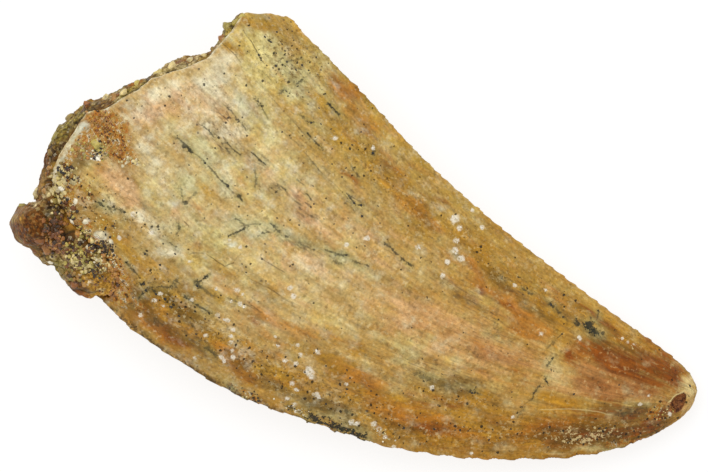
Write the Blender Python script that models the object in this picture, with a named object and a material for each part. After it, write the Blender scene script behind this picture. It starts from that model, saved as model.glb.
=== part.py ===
# Fossil raptor tooth lying on its side, with sand cemented in its broken base.
# x runs from the broken base to the tip, y to the distal (inner) edge, z up through the flat of the blade.
# The driving dimensions are in millimetres; the objects are made in metres.

import math
import random

import bmesh
import bpy
import numpy as np
from mathutils import Vector, kdtree
from mathutils.geometry import delaunay_2d_cdt

for old_object in list(bpy.data.objects):
    bpy.data.objects.remove(old_object, do_unlink=True)

MM = 0.001
random.seed(11)

# Edges of the blade, seen from its broad side
# From the broken base along the mesial (outer) edge to the tip
MESIAL_POINTS = [
    (-7.62, -5.50), (-6.4, -5.82), (-5.0, -6.02), (-2.2, -6.19), (0.5, -5.88), (3.2, -5.42),
    (6.0, -4.46), (8.7, -3.06), (10.1, -2.08), (11.2, -0.97), (11.86, 0.1),
]
# Round the tip and back along the distal edge
DISTAL_POINTS = [
    (11.99, 0.9), (11.72, 1.45), (10.8, 1.85), (8.0, 2.3), (5.3, 2.76), (2.5, 3.32),
    (-0.2, 4.04), (-3.0, 5.05), (-5.7, 5.94), (-6.24, 6.17),
]
# The same two edges carried on past the break, only to shape the cross-section there
MESIAL_PAST_BREAK = [(-13.0, -4.3), (-10.4, -4.95)]
DISTAL_PAST_BREAK = [(-9.0, 7.15), (-13.0, 8.6)]
TIP_X = 12.0

# Serrations
SERRATION_PITCH = 0.462
DISTAL_LOBE = 0.085
MESIAL_LOBE = 0.04
LOBE_SAMPLES = 4
# Length of edge beside the tip where the lobes are worn away
WORN_NEAR_TIP = 1.6

# Half thickness of the blade along x
HALF_THICKNESS = [(-13.0, 2.5), (-8.0, 2.45), (-4.0, 2.27), (0.0, 2.02), (4.0, 1.68), (8.0, 1.24), (12.2, 0.62)]
TIP_ROUNDING_START = 9.4
# Place of the crest across the blade, 0 at the mesial edge and 1 at the distal edge
CREST_AT_BASE = 0.5
CREST_AT_TIP = 0.6
SECTION_POWER = 2.3
EDGE_PINCH = 0.38
EDGE_PINCH_REACH = 0.55
EDGE_PINCH_WIDTH_SHARE = 0.07
FACE_WAVES = 0.03
# The underside is worn flat by this much where it rests
REST_FLAT = 0.1
TIP_LIFT = 0.22
TIP_LIFT_FROM = 6.0

# The broken base, station by station from the mesial to the distal edge:
# near enamel edge, far wall edge, outer face of the cemented sand
BREAK_STATIONS = [
    ((-7.62, -5.50), (-7.62, -5.50), (-7.66, -5.54)),
    ((-7.48, -4.95), (-8.10, -5.34), (-8.20, -5.45)),
    ((-7.75, -4.28), (-8.60, -5.22), (-8.80, -5.56)),
    ((-8.25, -4.08), (-9.10, -5.06), (-9.12, -5.41)),
    ((-8.70, -3.95), (-9.60, -4.95), (-9.60, -5.13)),
    ((-9.20, -3.75), (-10.10, -4.78), (-10.22, -5.08)),
    ((-9.65, -3.55), (-10.52, -4.55), (-10.75, -4.92)),
    ((-10.05, -3.40), (-10.80, -4.25), (-11.33, -4.81)),
    ((-10.35, -3.25), (-10.98, -3.92), (-11.76, -4.44)),
    ((-10.65, -3.05), (-11.05, -3.62), (-11.84, -3.92)),
    ((-10.90, -2.85), (-11.10, -3.30), (-11.24, -3.43)),
    ((-11.08, -2.60), (-11.36, -2.95), (-11.54, -3.08)),
    ((-11.30, -2.05), (-11.52, -2.30), (-11.66, -2.30)),
    ((-11.33, -1.48), (-11.68, -1.60), (-11.86, -1.57)),
    ((-11.25, -0.90), (-11.60, -0.98), (-11.84, -0.95)),
    ((-11.20, -0.45), (-11.36, -0.30), (-11.56, -0.22)),
    ((-11.13, 0.10), (-11.18, 0.25), (-11.34, 0.42)),
    ((-10.75, 0.38), (-10.72, 0.85), (-10.82, 0.90)),
    ((-10.42, 0.80), (-10.45, 1.22), (-10.56, 1.29)),
    ((-9.90, 1.65), (-10.02, 1.72), (-10.16, 1.84)),
    ((-9.67, 2.13), (-9.66, 2.20), (-9.71, 2.22)),
    ((-9.35, 2.50), (-9.44, 2.76), (-9.51, 2.84)),
    ((-8.90, 2.90), (-9.02, 3.18), (-9.10, 3.29)),
    ((-8.36, 3.58), (-8.34, 3.66), (-8.42, 3.78)),
    ((-8.17, 4.18), (-8.12, 4.22), (-8.25, 4.30)),
    ((-8.04, 4.86), (-8.00, 4.86), (-8.31, 4.92)),
    ((-7.92, 5.63), (-7.86, 5.58), (-7.99, 5.54)),
    ((-7.30, 5.94), (-7.28, 5.92), (-7.28, 5.92)),
    ((-6.61, 6.22), (-6.60, 6.20), (-6.60, 6.20)),
    ((-6.24, 6.17), (-6.24, 6.17), (-6.24, 6.17)),
]
COLUMNS_PER_STATION = 3
BREAK_JAGGEDNESS = 0.035
# The hollow in the broken base
HOLLOW_END_X = -8.7
LEAST_HOLLOW_DEPTH = 0.12
HOLLOW_TAPER = 0.9
WALL = 0.75
WALL_SHARE = 0.3

# The chip at the tip: its corners in order round it, and its depth
CHIP_CORNERS = [(11.12, 0.56), (11.45, 0.3), (11.66, 0.2), (11.74, 0.62), (11.66, 1.05)]
CHIP_DEPTH = 0.15
CHIP_FLOOR = 0.78

# Cemented sand
SAND_GAP = 0.05
SAND_FIRST_STATION = 1.0
SAND_LAST_STATION = 26.0
CRUST_UNTIL_STATION = 12.5
CRUST_RISE = 0.1
SAND_ROWS = 8
# Big rounded grains in its outer face: x, y, radius and how far they stand out of it
GRAINS = [
    (-11.0, -4.2, 0.74, 0.5), (-9.05, -5.2, 0.32, 0.16), (-10.0, -4.2, 0.42, 0.16), (-9.1, -4.5, 0.4, 0.18),
    (-8.3, -4.75, 0.36, 0.15), (-11.5, -1.5, 0.4, 0.1), (-11.45, -2.7, 0.34, 0.1), (-10.4, -3.55, 0.25, 0.12),
    (-8.08, 5.0, 0.26, 0.1), (-9.3, 2.95, 0.3, 0.08), (-10.6, 1.15, 0.3, 0.08), (-11.3, -0.1, 0.3, 0.08),
]
SAND_ROUGHNESS = 0.07
# How far each row of the sand wall at the break reaches from the near wall (0) to its outer face (1)
SAND_WALL_REACH = [0.0, 0.4, 0.72, 0.8, 1.0, 0.85, 0.7, 0.9]
SAND_WALL_PITS = 0.2


def curve_through(points, steps):
    """A smooth curve through the points, with this many steps from each to the next."""
    ends = [2 * Vector(points[0]) - Vector(points[1])]
    ends += [Vector(p) for p in points]
    ends.append(2 * Vector(points[-1]) - Vector(points[-2]))
    made = []
    for before, first, second, after in zip(ends, ends[1:], ends[2:], ends[3:]):
        for step in range(steps):
            t = step / steps
            made.append(
                0.5 * (2 * first + (second - before) * t
                       + (2 * before - 5 * first + 4 * second - after) * t ** 2
                       + (3 * first - before - 3 * second + after) * t ** 3)
            )
    made.append(ends[-2])
    return made


def values_along(points):
    """Two arrays, x and y, of the smooth curve through the points, for reading y at an x."""
    curve = sorted((p.x, p.y) for p in curve_through(points, 12))
    return np.array([p[0] for p in curve]), np.array([p[1] for p in curve])


mesial_x, mesial_y = values_along(MESIAL_PAST_BREAK + MESIAL_POINTS + [(TIP_X, 0.75)])
distal_x, distal_y = values_along([(TIP_X, 0.75)] + DISTAL_POINTS + DISTAL_PAST_BREAK)
thick_x, thick_z = values_along(HALF_THICKNESS)


def smooth_step(low, high, value):
    t = min(1.0, max(0.0, (value - low) / (high - low)))
    return t * t * (3 - 2 * t)


def half_thickness(x):
    half = float(np.interp(x, thick_x, thick_z))
    if x > TIP_ROUNDING_START:
        share = min(1.0, (x - TIP_ROUNDING_START) / (TIP_X - TIP_ROUNDING_START))
        half *= math.sqrt(1 - share ** 2)
    return half


def edge_height(x):
    """Height of the two serrated edges above the floor."""
    lift = TIP_LIFT * smooth_step(TIP_LIFT_FROM, TIP_X + 2, x)
    return float(np.interp(x, thick_x, thick_z)) - REST_FLAT + lift


def bulge(x, y):
    """Height of the blade's face over the plane of its edges."""
    low = float(np.interp(x, mesial_x, mesial_y))
    high = float(np.interp(x, distal_x, distal_y))
    width = max(0.2, high - low)
    across = min(0.999, max(0.001, (y - low) / width))
    crest = CREST_AT_BASE + (CREST_AT_TIP - CREST_AT_BASE) * smooth_step(-6, 10, x)
    across = across ** (math.log(0.5) / math.log(crest))
    from_middle = abs(2 * across - 1)
    from_edge = (1 - from_middle) * width / 2
    reach = min(EDGE_PINCH_REACH, EDGE_PINCH_WIDTH_SHARE * width)
    pinch = 1 - EDGE_PINCH * math.exp(-from_edge / reach)
    waves = FACE_WAVES * math.sin(1.1 * x + 0.7) * math.sin(0.9 * y - 0.4)
    return (half_thickness(x) + waves) * (1 - from_middle ** SECTION_POWER) * pinch


chip_middle = Vector((
    sum(corner[0] for corner in CHIP_CORNERS) / len(CHIP_CORNERS),
    sum(corner[1] for corner in CHIP_CORNERS) / len(CHIP_CORNERS),
))


def chip(x, y):
    """Depth of the chip at the tip: a steep rim round a flat floor."""
    place = Vector((x, y)) - chip_middle
    share = 0.0
    previous = Vector(CHIP_CORNERS[-1]) - chip_middle
    for corner in CHIP_CORNERS:
        current = Vector(corner) - chip_middle
        side = current - previous
        outwards = Vector((side.y, -side.x))
        share = max(share, place.dot(outwards) / current.dot(outwards))
        previous = current
    return CHIP_DEPTH * (1 - smooth_step(CHIP_FLOOR, 1.0, share))


def near_face(x, y):
    return edge_height(x) + max(0.02, bulge(x, y) - chip(x, y))


def far_face(x, y):
    return max(0.0, edge_height(x) - max(0.02, bulge(x, y)))


def along_path(path):
    lengths = [0.0]
    for first, second in zip(path, path[1:]):
        lengths.append(lengths[-1] + (second - first).length)
    return lengths


def resampled(path, count, offset=0.0):
    """Evenly spaced points of a path, moved to the left of its direction by the offset."""
    lengths = along_path(path)
    wanted = np.linspace(0, lengths[-1], count)
    xs = np.interp(wanted, lengths, [p.x for p in path])
    ys = np.interp(wanted, lengths, [p.y for p in path])
    made = []
    for i in range(count):
        ahead = min(count - 1, i + 1)
        behind = max(0, i - 1)
        direction = Vector((xs[ahead] - xs[behind], ys[ahead] - ys[behind])).normalized()
        left = Vector((-direction.y, direction.x))
        made.append(Vector((xs[i], ys[i])) + left * offset)
    return made


def serrated(path, tip_length):
    """The edge with its rounded lobes, worn away towards the tip and towards the break."""
    total = along_path(path)[-1]
    lobes = round(total / SERRATION_PITCH)
    smooth = resampled(path, lobes * LOBE_SAMPLES + 1)
    strength = [0.55 + 0.45 * random.random() for _ in range(lobes + 1)]
    made = []
    for i, point in enumerate(smooth):
        at = i / LOBE_SAMPLES
        lobe = abs(math.sin(math.pi * at)) ** 0.8
        length = total * i / (len(smooth) - 1)
        size = MESIAL_LOBE if length < tip_length else DISTAL_LOBE
        worn = smooth_step(0.2, WORN_NEAR_TIP, abs(length - tip_length))
        ends = smooth_step(0.0, 0.6, length) * smooth_step(0.0, 0.6, total - length)
        ahead = smooth[min(len(smooth) - 1, i + 1)]
        behind = smooth[max(0, i - 1)]
        direction = (ahead - behind).normalized()
        outwards = Vector((direction.y, -direction.x))
        out = size * strength[min(lobes, int(at))] * worn * ends * (lobe - 0.35)
        made.append(point + outwards * out)
    return made


def inside(point, outline):
    found = False
    previous = outline[-1]
    for corner in outline:
        if (corner.y > point.y) != (previous.y > point.y):
            cut = previous.x + (point.y - previous.y) * (corner.x - previous.x) / (corner.y - previous.y)
            if point.x < cut:
                found = not found
        previous = corner
    return found


class Points:
    """Plan points that keep a least distance from each other."""

    def __init__(self, fixed):
        self.fixed = list(fixed)
        self.added = []

    def add(self, candidates, outline, clear_of_edge, clear_of_others):
        edge_tree = kdtree.KDTree(len(self.fixed))
        for i, p in enumerate(self.fixed):
            edge_tree.insert((p.x, p.y, 0), i)
        edge_tree.balance()
        for point in candidates:
            if not inside(point, outline):
                continue
            if edge_tree.find((point.x, point.y, 0))[2] < clear_of_edge:
                continue
            if any((point - other).length < clear_of_others for other in self.added):
                continue
            self.added.append(point)


def face_points(outline, edge_path, break_path):
    """The inner points of one face: fine beside the serrations, the break and the chip, and coarse in between."""
    points = Points(outline)
    lobes = round(along_path(edge_path)[-1] / SERRATION_PITCH)
    rows = [(0.2, lobes * 2 + 1, 0.09, 0.12), (0.5, lobes + 1, 0.25, 0.24), (1.0, lobes // 2 + 1, 0.4, 0.45)]
    rim = [Vector(corner) for corner in CHIP_CORNERS + CHIP_CORNERS[:1]]
    for share, count, clear in ((1.0, 19, 0.04), (CHIP_FLOOR, 15, 0.04), (0.35, 6, 0.05), (1.35, 19, 0.09)):
        ring = [chip_middle + (place - chip_middle) * share for place in resampled(rim, count)[:-1]]
        points.add(ring, outline, 0.05, clear)
    for offset, count, clear_of_edge, clear_of_others in rows:
        points.add(resampled(edge_path, count, offset), outline, clear_of_edge, clear_of_others)
    for offset, count, clear in ((-0.25, 60, 0.15), (-0.65, 30, 0.4)):
        points.add(resampled(break_path, count, offset), outline, clear, clear)
    grid = []
    for i in range(-14, 15):
        for j in range(-9, 10):
            jitter = Vector((random.uniform(-0.12, 0.12), random.uniform(-0.12, 0.12)))
            grid.append(Vector((i * 0.88, (j + 0.5 * (i % 2)) * 0.98)) + jitter)
    points.add(grid, outline, 0.6, 0.55)
    return points.added


def triangles_in(outline, inner):
    """Triangles over the outline and its inner points, all turned the same way, as indices into outline + inner."""
    count = len(outline)
    edges = [(i, (i + 1) % count) for i in range(count)]
    made = delaunay_2d_cdt(outline + inner, edges, [], 1, 1e-7)
    corners, faces, origins = made[0], made[2], made[3]
    found = []
    for face in faces:
        a, b, c = (corners[k] for k in face)
        turned = (b - a).cross(c - a) > 0
        ids = [origins[k][0] for k in face]
        found.append(ids if turned else ids[::-1])
    return found


def new_material(name, color, roughness):
    material = bpy.data.materials.new(name)
    material.use_nodes = True
    shader = material.node_tree.nodes["Principled BSDF"]
    shader.inputs["Base Color"].default_value = (*color, 1)
    shader.inputs["Roughness"].default_value = roughness
    material.diffuse_color = (*color, 1)
    return material


def new_object(name, corners, faces, material, middle):
    mesh = bpy.data.meshes.new(name)
    places = [((x - middle.x) * MM, (y - middle.y) * MM, z * MM) for x, y, z in corners]
    mesh.from_pydata(places, [], faces)
    shape = bmesh.new()
    shape.from_mesh(mesh)
    bmesh.ops.recalc_face_normals(shape, faces=shape.faces)
    shape.to_mesh(mesh)
    shape.free()
    mesh.shade_smooth()
    mesh.set_sharp_from_angle(angle=math.radians(32))
    mesh.materials.append(material)
    made = bpy.data.objects.new(name, mesh)
    bpy.context.scene.collection.objects.link(made)
    return made


def break_columns():
    """Near edge, far edge and sand face of the break, column by column, each a plan point, with its station."""
    columns = []
    for i in range(len(BREAK_STATIONS) - 1):
        for step in range(COLUMNS_PER_STATION):
            t = step / COLUMNS_PER_STATION
            places = []
            for first, second in zip(BREAK_STATIONS[i], BREAK_STATIONS[i + 1]):
                places.append(Vector(first).lerp(Vector(second), t))
            if columns:
                jag = Vector((random.uniform(-1, 1), random.uniform(-1, 1))) * BREAK_JAGGEDNESS
                places = [place + jag for place in places]
            columns.append((i + t, places))
    columns.append((len(BREAK_STATIONS) - 1, [Vector(p) for p in BREAK_STATIONS[-1]]))
    return columns


def wall_rows(station, near, far):
    """Points of the break across the wall, round the hollow and across the far wall."""
    deep = Vector((max(HOLLOW_END_X, near.x + LEAST_HOLLOW_DEPTH), near.y * HOLLOW_TAPER))
    if near.y > 3:
        deep.y = near.y - 0.1 * (near.y - 3) - 0.27
    middle = near.lerp(deep, 0.5)
    rim = near.lerp(deep, 0.04)
    rows = []
    for place in (near, rim, middle, deep):
        top = near_face(place.x, place.y)
        wall = min(WALL, WALL_SHARE * (top - far_face(place.x, place.y)))
        rows.append((place.x, place.y, top if place is near else top - wall))
    for place in (deep, middle.lerp(far, 0.5), far, far):
        bottom = far_face(place.x, place.y)
        wall = min(WALL, WALL_SHARE * (near_face(place.x, place.y) - bottom))
        rows.append((place.x, place.y, bottom + wall))
    rows[-1] = (far.x, far.y, far_face(far.x, far.y))
    return rows


# The tooth
edge_curve = curve_through(MESIAL_POINTS + DISTAL_POINTS, 14)
mesial_length = along_path(curve_through(MESIAL_POINTS + DISTAL_POINTS[:1], 14))[-1]
edge = serrated(edge_curve, mesial_length)
columns = break_columns()
inner_columns = columns[1:-1]

near_break = [places[0] for _, places in inner_columns]
far_break = [places[1] for _, places in inner_columns]

tooth_corners = [(p.x, p.y, edge_height(p.x)) for p in edge]
tooth_faces = []


def add_face(break_line, height, turned):
    """One broad face of the blade. Returns the indices of its corners along the break."""
    line = list(reversed(break_line))
    outline = edge + line
    inner = face_points(outline, edge_curve, [edge[-1]] + line + [edge[0]])
    ids = list(range(len(edge)))
    first = len(tooth_corners)
    for place in line + inner:
        tooth_corners.append((place.x, place.y, height(place.x, place.y)))
    ids += range(first, len(tooth_corners))
    for face in triangles_in(outline, inner):
        corners = [ids[k] for k in face]
        tooth_faces.append(corners[::-1] if turned else corners)
    return list(reversed(range(first, first + len(line))))


near_ids = add_face(near_break, near_face, False)
far_ids = add_face(far_break, far_face, True)

strips = []
for (station, (near, far, _)), near_id, far_id in zip(inner_columns, near_ids, far_ids):
    rows = wall_rows(station, near, far)
    ids = [near_id]
    for row in rows[1:-1]:
        ids.append(len(tooth_corners))
        tooth_corners.append(row)
    ids.append(far_id)
    strips.append(ids)
for first, second in zip(strips, strips[1:]):
    for k in range(len(first) - 1):
        tooth_faces.append((first[k], first[k + 1], second[k + 1]))
        tooth_faces.append((first[k], second[k + 1], second[k]))
for end, ids in ((0, strips[0]), (len(edge) - 1, strips[-1])):
    for k in range(len(ids) - 1):
        tooth_faces.append((end, ids[k], ids[k + 1]) if end else (end, ids[k + 1], ids[k]))


# The cemented sand
def standing_out(x, y):
    """How far the big grains lift the sand's outer face here."""
    lift = 0.0
    for grain_x, grain_y, radius, height in GRAINS:
        distance = math.hypot(x - grain_x, y - grain_y) / radius
        if distance < 1:
            lift = max(lift, height * math.sqrt(1 - distance ** 2))
    return lift


def sand_ring(station, near, far, outer):
    """One closed ring of the sand: outer face from the near wall to the far wall, and back inside the hollow."""
    rows = [Vector(row) for row in wall_rows(station, near, far)]
    outwards = outer - near
    outwards = outwards.normalized() if outwards.length > 1e-6 else Vector((-1, 0))
    crust = 1 - smooth_step(CRUST_UNTIL_STATION - 2, CRUST_UNTIL_STATION, station)
    top = rows[0].z
    bottom = rows[-1].z
    depth = top - bottom
    start = (rows[1].z - SAND_GAP) * (1 - crust) + (top + CRUST_RISE) * crust
    end = bottom + 0.3 * depth
    ring = []
    ring.append((rows[3].x - SAND_GAP, rows[3].y, rows[3].z - SAND_GAP))
    ring.append((rows[2].x, rows[2].y, rows[2].z - SAND_GAP))
    ring.append((rows[1].x, rows[1].y, rows[1].z - SAND_GAP))
    first = near + outwards * SAND_GAP
    for k in range(SAND_ROWS):
        share = k / (SAND_ROWS - 1)
        reach = SAND_WALL_REACH[k]
        if 0 < k < SAND_ROWS - 1 and reach < 1:
            reach += random.uniform(-1, 1) * SAND_WALL_PITS
        place = first.lerp(outer, share * crust + reach * (1 - crust))
        fall = share ** (1.2 + 1.6 * crust)
        rough = random.uniform(-1, 1) * SAND_ROUGHNESS * min(1.0, depth)
        if k in (0, SAND_ROWS - 1):
            rough = 0
        lift = standing_out(place.x, place.y) * crust
        ring.append((place.x, place.y, start + (end - start) * fall + lift + rough))
    rim = far + (outer - far).normalized() * SAND_GAP if (outer - far).length > SAND_GAP else outer
    ring.append((outer.x, outer.y, bottom + 0.12 * depth))
    ring.append((rim.x, rim.y, bottom + 0.08 * depth))
    ring.append((rim.x, rim.y, rows[6].z + SAND_GAP))
    ring.append((rows[5].x, rows[5].y, rows[5].z + SAND_GAP))
    ring.append((rows[4].x - SAND_GAP, rows[4].y, rows[4].z + SAND_GAP))
    return ring


rings = []
for station, places in columns:
    if SAND_FIRST_STATION <= station <= SAND_LAST_STATION:
        rings.append(sand_ring(station, *places))
sand_corners = [corner for ring in rings for corner in ring]
sand_faces = []
around = len(rings[0])
for i in range(len(rings) - 1):
    for k in range(around):
        a = i * around + k
        b = i * around + (k + 1) % around
        sand_faces.append((a, b, b + around))
        sand_faces.append((a, b + around, a + around))
for i in (0, len(rings) - 1):
    end_middle = [sum(corner[axis] for corner in rings[i]) / around for axis in range(3)]
    sand_corners.append(end_middle)
    for k in range(around):
        sand_faces.append((i * around + k, i * around + (k + 1) % around, len(sand_corners) - 1))

# The origin is on the floor under the middle of the whole part
plan_xs = [corner[0] for corner in tooth_corners + sand_corners]
plan_ys = [corner[1] for corner in tooth_corners + sand_corners]
middle = Vector(((min(plan_xs) + max(plan_xs)) / 2, (min(plan_ys) + max(plan_ys)) / 2))

enamel = new_material("tooth_enamel", (0.45, 0.28, 0.09), 0.4)
new_object("tooth", tooth_corners, tooth_faces, enamel, middle)

sandstone = new_material("cemented_sand", (0.2, 0.12, 0.045), 0.85)
new_object("sand_matrix", sand_corners, sand_faces, sandstone, middle)
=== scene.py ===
# Fossil raptor tooth on a pale floor, seen from above as in the photograph.
import math
import random

import bpy
import numpy as np
from mathutils import Matrix, Vector, noise
from mathutils.bvhtree import BVHTree
from mathutils.kdtree import KDTree


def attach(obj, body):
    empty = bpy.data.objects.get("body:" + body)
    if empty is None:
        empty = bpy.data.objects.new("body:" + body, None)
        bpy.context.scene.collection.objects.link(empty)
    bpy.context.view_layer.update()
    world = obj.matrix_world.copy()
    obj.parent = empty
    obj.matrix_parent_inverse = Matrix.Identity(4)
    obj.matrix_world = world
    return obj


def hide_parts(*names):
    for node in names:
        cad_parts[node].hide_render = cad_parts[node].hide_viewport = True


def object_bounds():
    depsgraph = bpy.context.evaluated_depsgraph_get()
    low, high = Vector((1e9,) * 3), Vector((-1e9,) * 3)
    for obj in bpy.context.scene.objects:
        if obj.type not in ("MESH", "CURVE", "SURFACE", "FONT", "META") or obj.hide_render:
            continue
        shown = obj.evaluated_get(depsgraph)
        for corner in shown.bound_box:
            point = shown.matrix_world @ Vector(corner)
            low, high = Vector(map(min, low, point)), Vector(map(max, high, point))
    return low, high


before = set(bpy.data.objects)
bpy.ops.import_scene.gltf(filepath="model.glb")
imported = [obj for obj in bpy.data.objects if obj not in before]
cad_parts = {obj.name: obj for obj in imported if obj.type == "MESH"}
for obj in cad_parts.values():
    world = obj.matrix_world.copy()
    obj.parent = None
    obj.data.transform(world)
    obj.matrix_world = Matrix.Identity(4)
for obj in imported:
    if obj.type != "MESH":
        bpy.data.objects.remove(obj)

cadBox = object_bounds()
mm = 0.001
perMm = 1000.0                  # from metres to mm, and the scale of a pattern with one feature in a mm

# How the photograph shows the part: its scale, the turn of the tooth in it, and the place under its middle
# pixel. Marks are placed by where the photograph shows them, as pixels right and down in its 708 by 472 frame.
photo = {
    "mmPerPixel": 0.0344,       # at the height of the cutting edges
    "edgeHeight": 2.0,          # mm
    "cameraHeight": 250.0,      # mm
    "turn": math.radians(27.3),
    "middlePixel": (354, 236),
    "middlePlace": (-1.180, 0.538),
    "frame": (708, 472),
    "sensor": 36,               # mm
}


def photoPlaces(places):
    # pixels right and down of places in millimetres, as the camera sees them
    closer = (photo["cameraHeight"] - photo["edgeHeight"]) / (photo["cameraHeight"] - places[:, 2])
    across = (places[:, 0] - photo["middlePlace"][0]) * closer
    up = (places[:, 1] - photo["middlePlace"][1]) * closer
    c, s = math.cos(photo["turn"]), math.sin(photo["turn"])
    right = photo["middlePixel"][0] + (c * across + s * up) / photo["mmPerPixel"]
    down = photo["middlePixel"][1] - (c * up - s * across) / photo["mmPerPixel"]
    return right, down


def sightLine(right, down):
    # where the camera stands, and the way that it looks at a pixel, in millimetres
    a = (right - photo["middlePixel"][0]) * photo["mmPerPixel"]
    b = (photo["middlePixel"][1] - down) * photo["mmPerPixel"]
    c, s = math.cos(photo["turn"]), math.sin(photo["turn"])
    start = Vector(photo["middlePlace"] + (photo["cameraHeight"],))
    way = Vector((c * a - s * b, s * a + c * b, photo["edgeHeight"] - photo["cameraHeight"]))
    return start, way.normalized()


def step(low, high, values):
    # 0 at low, 1 at high and smooth between
    t = np.clip((values - low) / (high - low), 0, 1)
    return t * t * (3 - 2 * t)


def linear(hexColour):
    # sRGB hex to linear colour
    parts = [int(hexColour[i:i + 2], 16) / 255 for i in (1, 3, 5)]
    return tuple(p / 12.92 if p <= 0.04045 else ((p + 0.055) / 1.055) ** 2.4 for p in parts) + (1.0,)


def selectOnly(piece):
    bpy.ops.object.select_all(action="DESELECT")
    piece.select_set(True)
    bpy.context.view_layer.objects.active = piece


def editAll(piece):
    # edit mode with everything selected
    selectOnly(piece)
    bpy.ops.object.mode_set(mode="EDIT")
    bpy.ops.mesh.select_all(action="SELECT")


def resized(piece, factor):
    # scales the mesh about the origin
    editAll(piece)
    bpy.ops.transform.resize(value=(factor, factor, factor), center_override=(0, 0, 0))
    bpy.ops.object.mode_set(mode="OBJECT")


def modified(piece, kind, **settings):
    # adds a modifier, sets it and applies it
    selectOnly(piece)
    bpy.ops.object.modifier_add(type=kind)
    made = piece.modifiers[-1]
    for key, value in settings.items():
        setattr(made, key, value)
    bpy.ops.object.modifier_apply(modifier=made.name)


def copyOfNode(node, name):
    # a merged copy of a CAD node, in millimetres
    piece = bpy.data.objects.new(name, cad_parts[node].data.copy())
    bpy.context.scene.collection.objects.link(piece)
    piece.data.materials.clear()
    resized(piece, perMm)
    editAll(piece)
    bpy.ops.mesh.remove_doubles(threshold=0.0005)
    bpy.ops.mesh.normals_make_consistent(inside=False)
    bpy.ops.object.mode_set(mode="OBJECT")
    return piece


def vertexPlaces(piece):
    places = np.empty(len(piece.data.vertices) * 3, np.float32)
    piece.data.vertices.foreach_get("co", places)
    return places.reshape(-1, 3).astype(np.float64)


def vertexNormals(piece):
    normals = np.empty(len(piece.data.vertices) * 3, np.float32)
    piece.data.vertex_normals.foreach_get("vector", normals)
    return normals.reshape(-1, 3).astype(np.float64)


def insideBox(places, margin):
    # places in millimetres, kept inside the box of the solids by a margin
    low, high = (np.array(corner) * perMm for corner in cadBox)
    return np.clip(places, low + margin, high - margin)


def moveVertices(piece, places):
    piece.data.vertices.foreach_set("co", places.astype(np.float32).ravel())
    piece.data.update()


def keepAttribute(piece, name, values):
    made = piece.data.attributes.new(name, "FLOAT", "POINT")
    made.data.foreach_set("value", np.asarray(values, np.float32))


def keepVector(piece, name, values):
    made = piece.data.attributes.new(name, "FLOAT_VECTOR", "POINT")
    made.data.foreach_set("vector", np.asarray(values, np.float32).ravel())


def noiseAt(places, scale, seed, octaves=3):
    # smooth noise in about -1 to 1 at each place
    offset = Vector((seed * 17.3, seed * 5.1, seed * 9.7))
    return np.array([noise.fractal(Vector(p) * scale + offset, 1.0, 2.0, octaves) for p in places])


tooth = {
    "voxel": 0.082,             # mm, edge of the fine mesh
    "swell": 0.02,              # mm, gives back what the fine mesh takes off the edges
    "smoothing": 3,
    "crispFrom": 45,            # degrees, sharper edges of the solid stay crisp
    "crisp": 0.9,
    "roughness": 0.006,         # mm, over the whole surface
    "crustRise": 0.09,          # mm, sandy patches beside the break
    "chipDepth": 0.16,          # mm
    "wornFrom": (1.2, 3.2),     # mm along the tooth, the mesial edge is worn smooth from here
    "wornUntil": (9.4, 11.0),   # up to here
    "wornReach": 1.0,           # mm inwards from the edge
    "wornSlices": (0.8, 11.4, 0.12),    # mm along the tooth: where its lobes are measured, and how closely
    "wornSmoothing": 12,
    # the two edges, x and y in mm, only to give each place its share of the way across
    "mesialEdge": [(-12.5, -4.4), (-10.5, -4.9), (-7.7, -5.5), (-5.1, -6.03), (-2.3, -6.2), (0.4, -5.9),
                   (3.1, -5.43), (5.9, -4.47), (8.6, -3.07), (10.0, -2.1), (11.1, -1.0), (11.9, 0.6)],
    "distalEdge": [(-12.5, 8.5), (-9.0, 7.2), (-6.3, 6.2), (-3.1, 5.04), (-0.3, 4.03), (2.4, 3.3), (5.2, 2.75),
                   (7.9, 2.3), (10.7, 1.85), (11.65, 1.45), (11.9, 1.0)],
    "width": 9.0,               # mm, mean width, for patterns that follow the growth lines
    "wander": 9.0,              # pixels by which noise moves the stains about, and the shares of it for others
    "wanderShare": {"marks": 0.4, "lines": 0.08, "hairlines": 0.05, "spots": 0.12},
    # the hidden face wears the same kinds of stains: mirrored along the tooth, shifted and weaker
    "hiddenRight": (700, 0.96),
    "hiddenDown": (470, 0.98),
    "hiddenStains": 0.8,
    "hiddenMarks": 0.7,
    "lineReach": 2.0,           # pixels beside a dark line where its shape is known
    "thinReach": 2.5,           # the same for hairlines and scratches
    "haloReach": (2.5, 3.5),    # width of a halo, by the line's half width and in pixels
    "breakFrom": (-5.6, -6.6),  # mm along the tooth, faces that look back are broken from here
}

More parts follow.
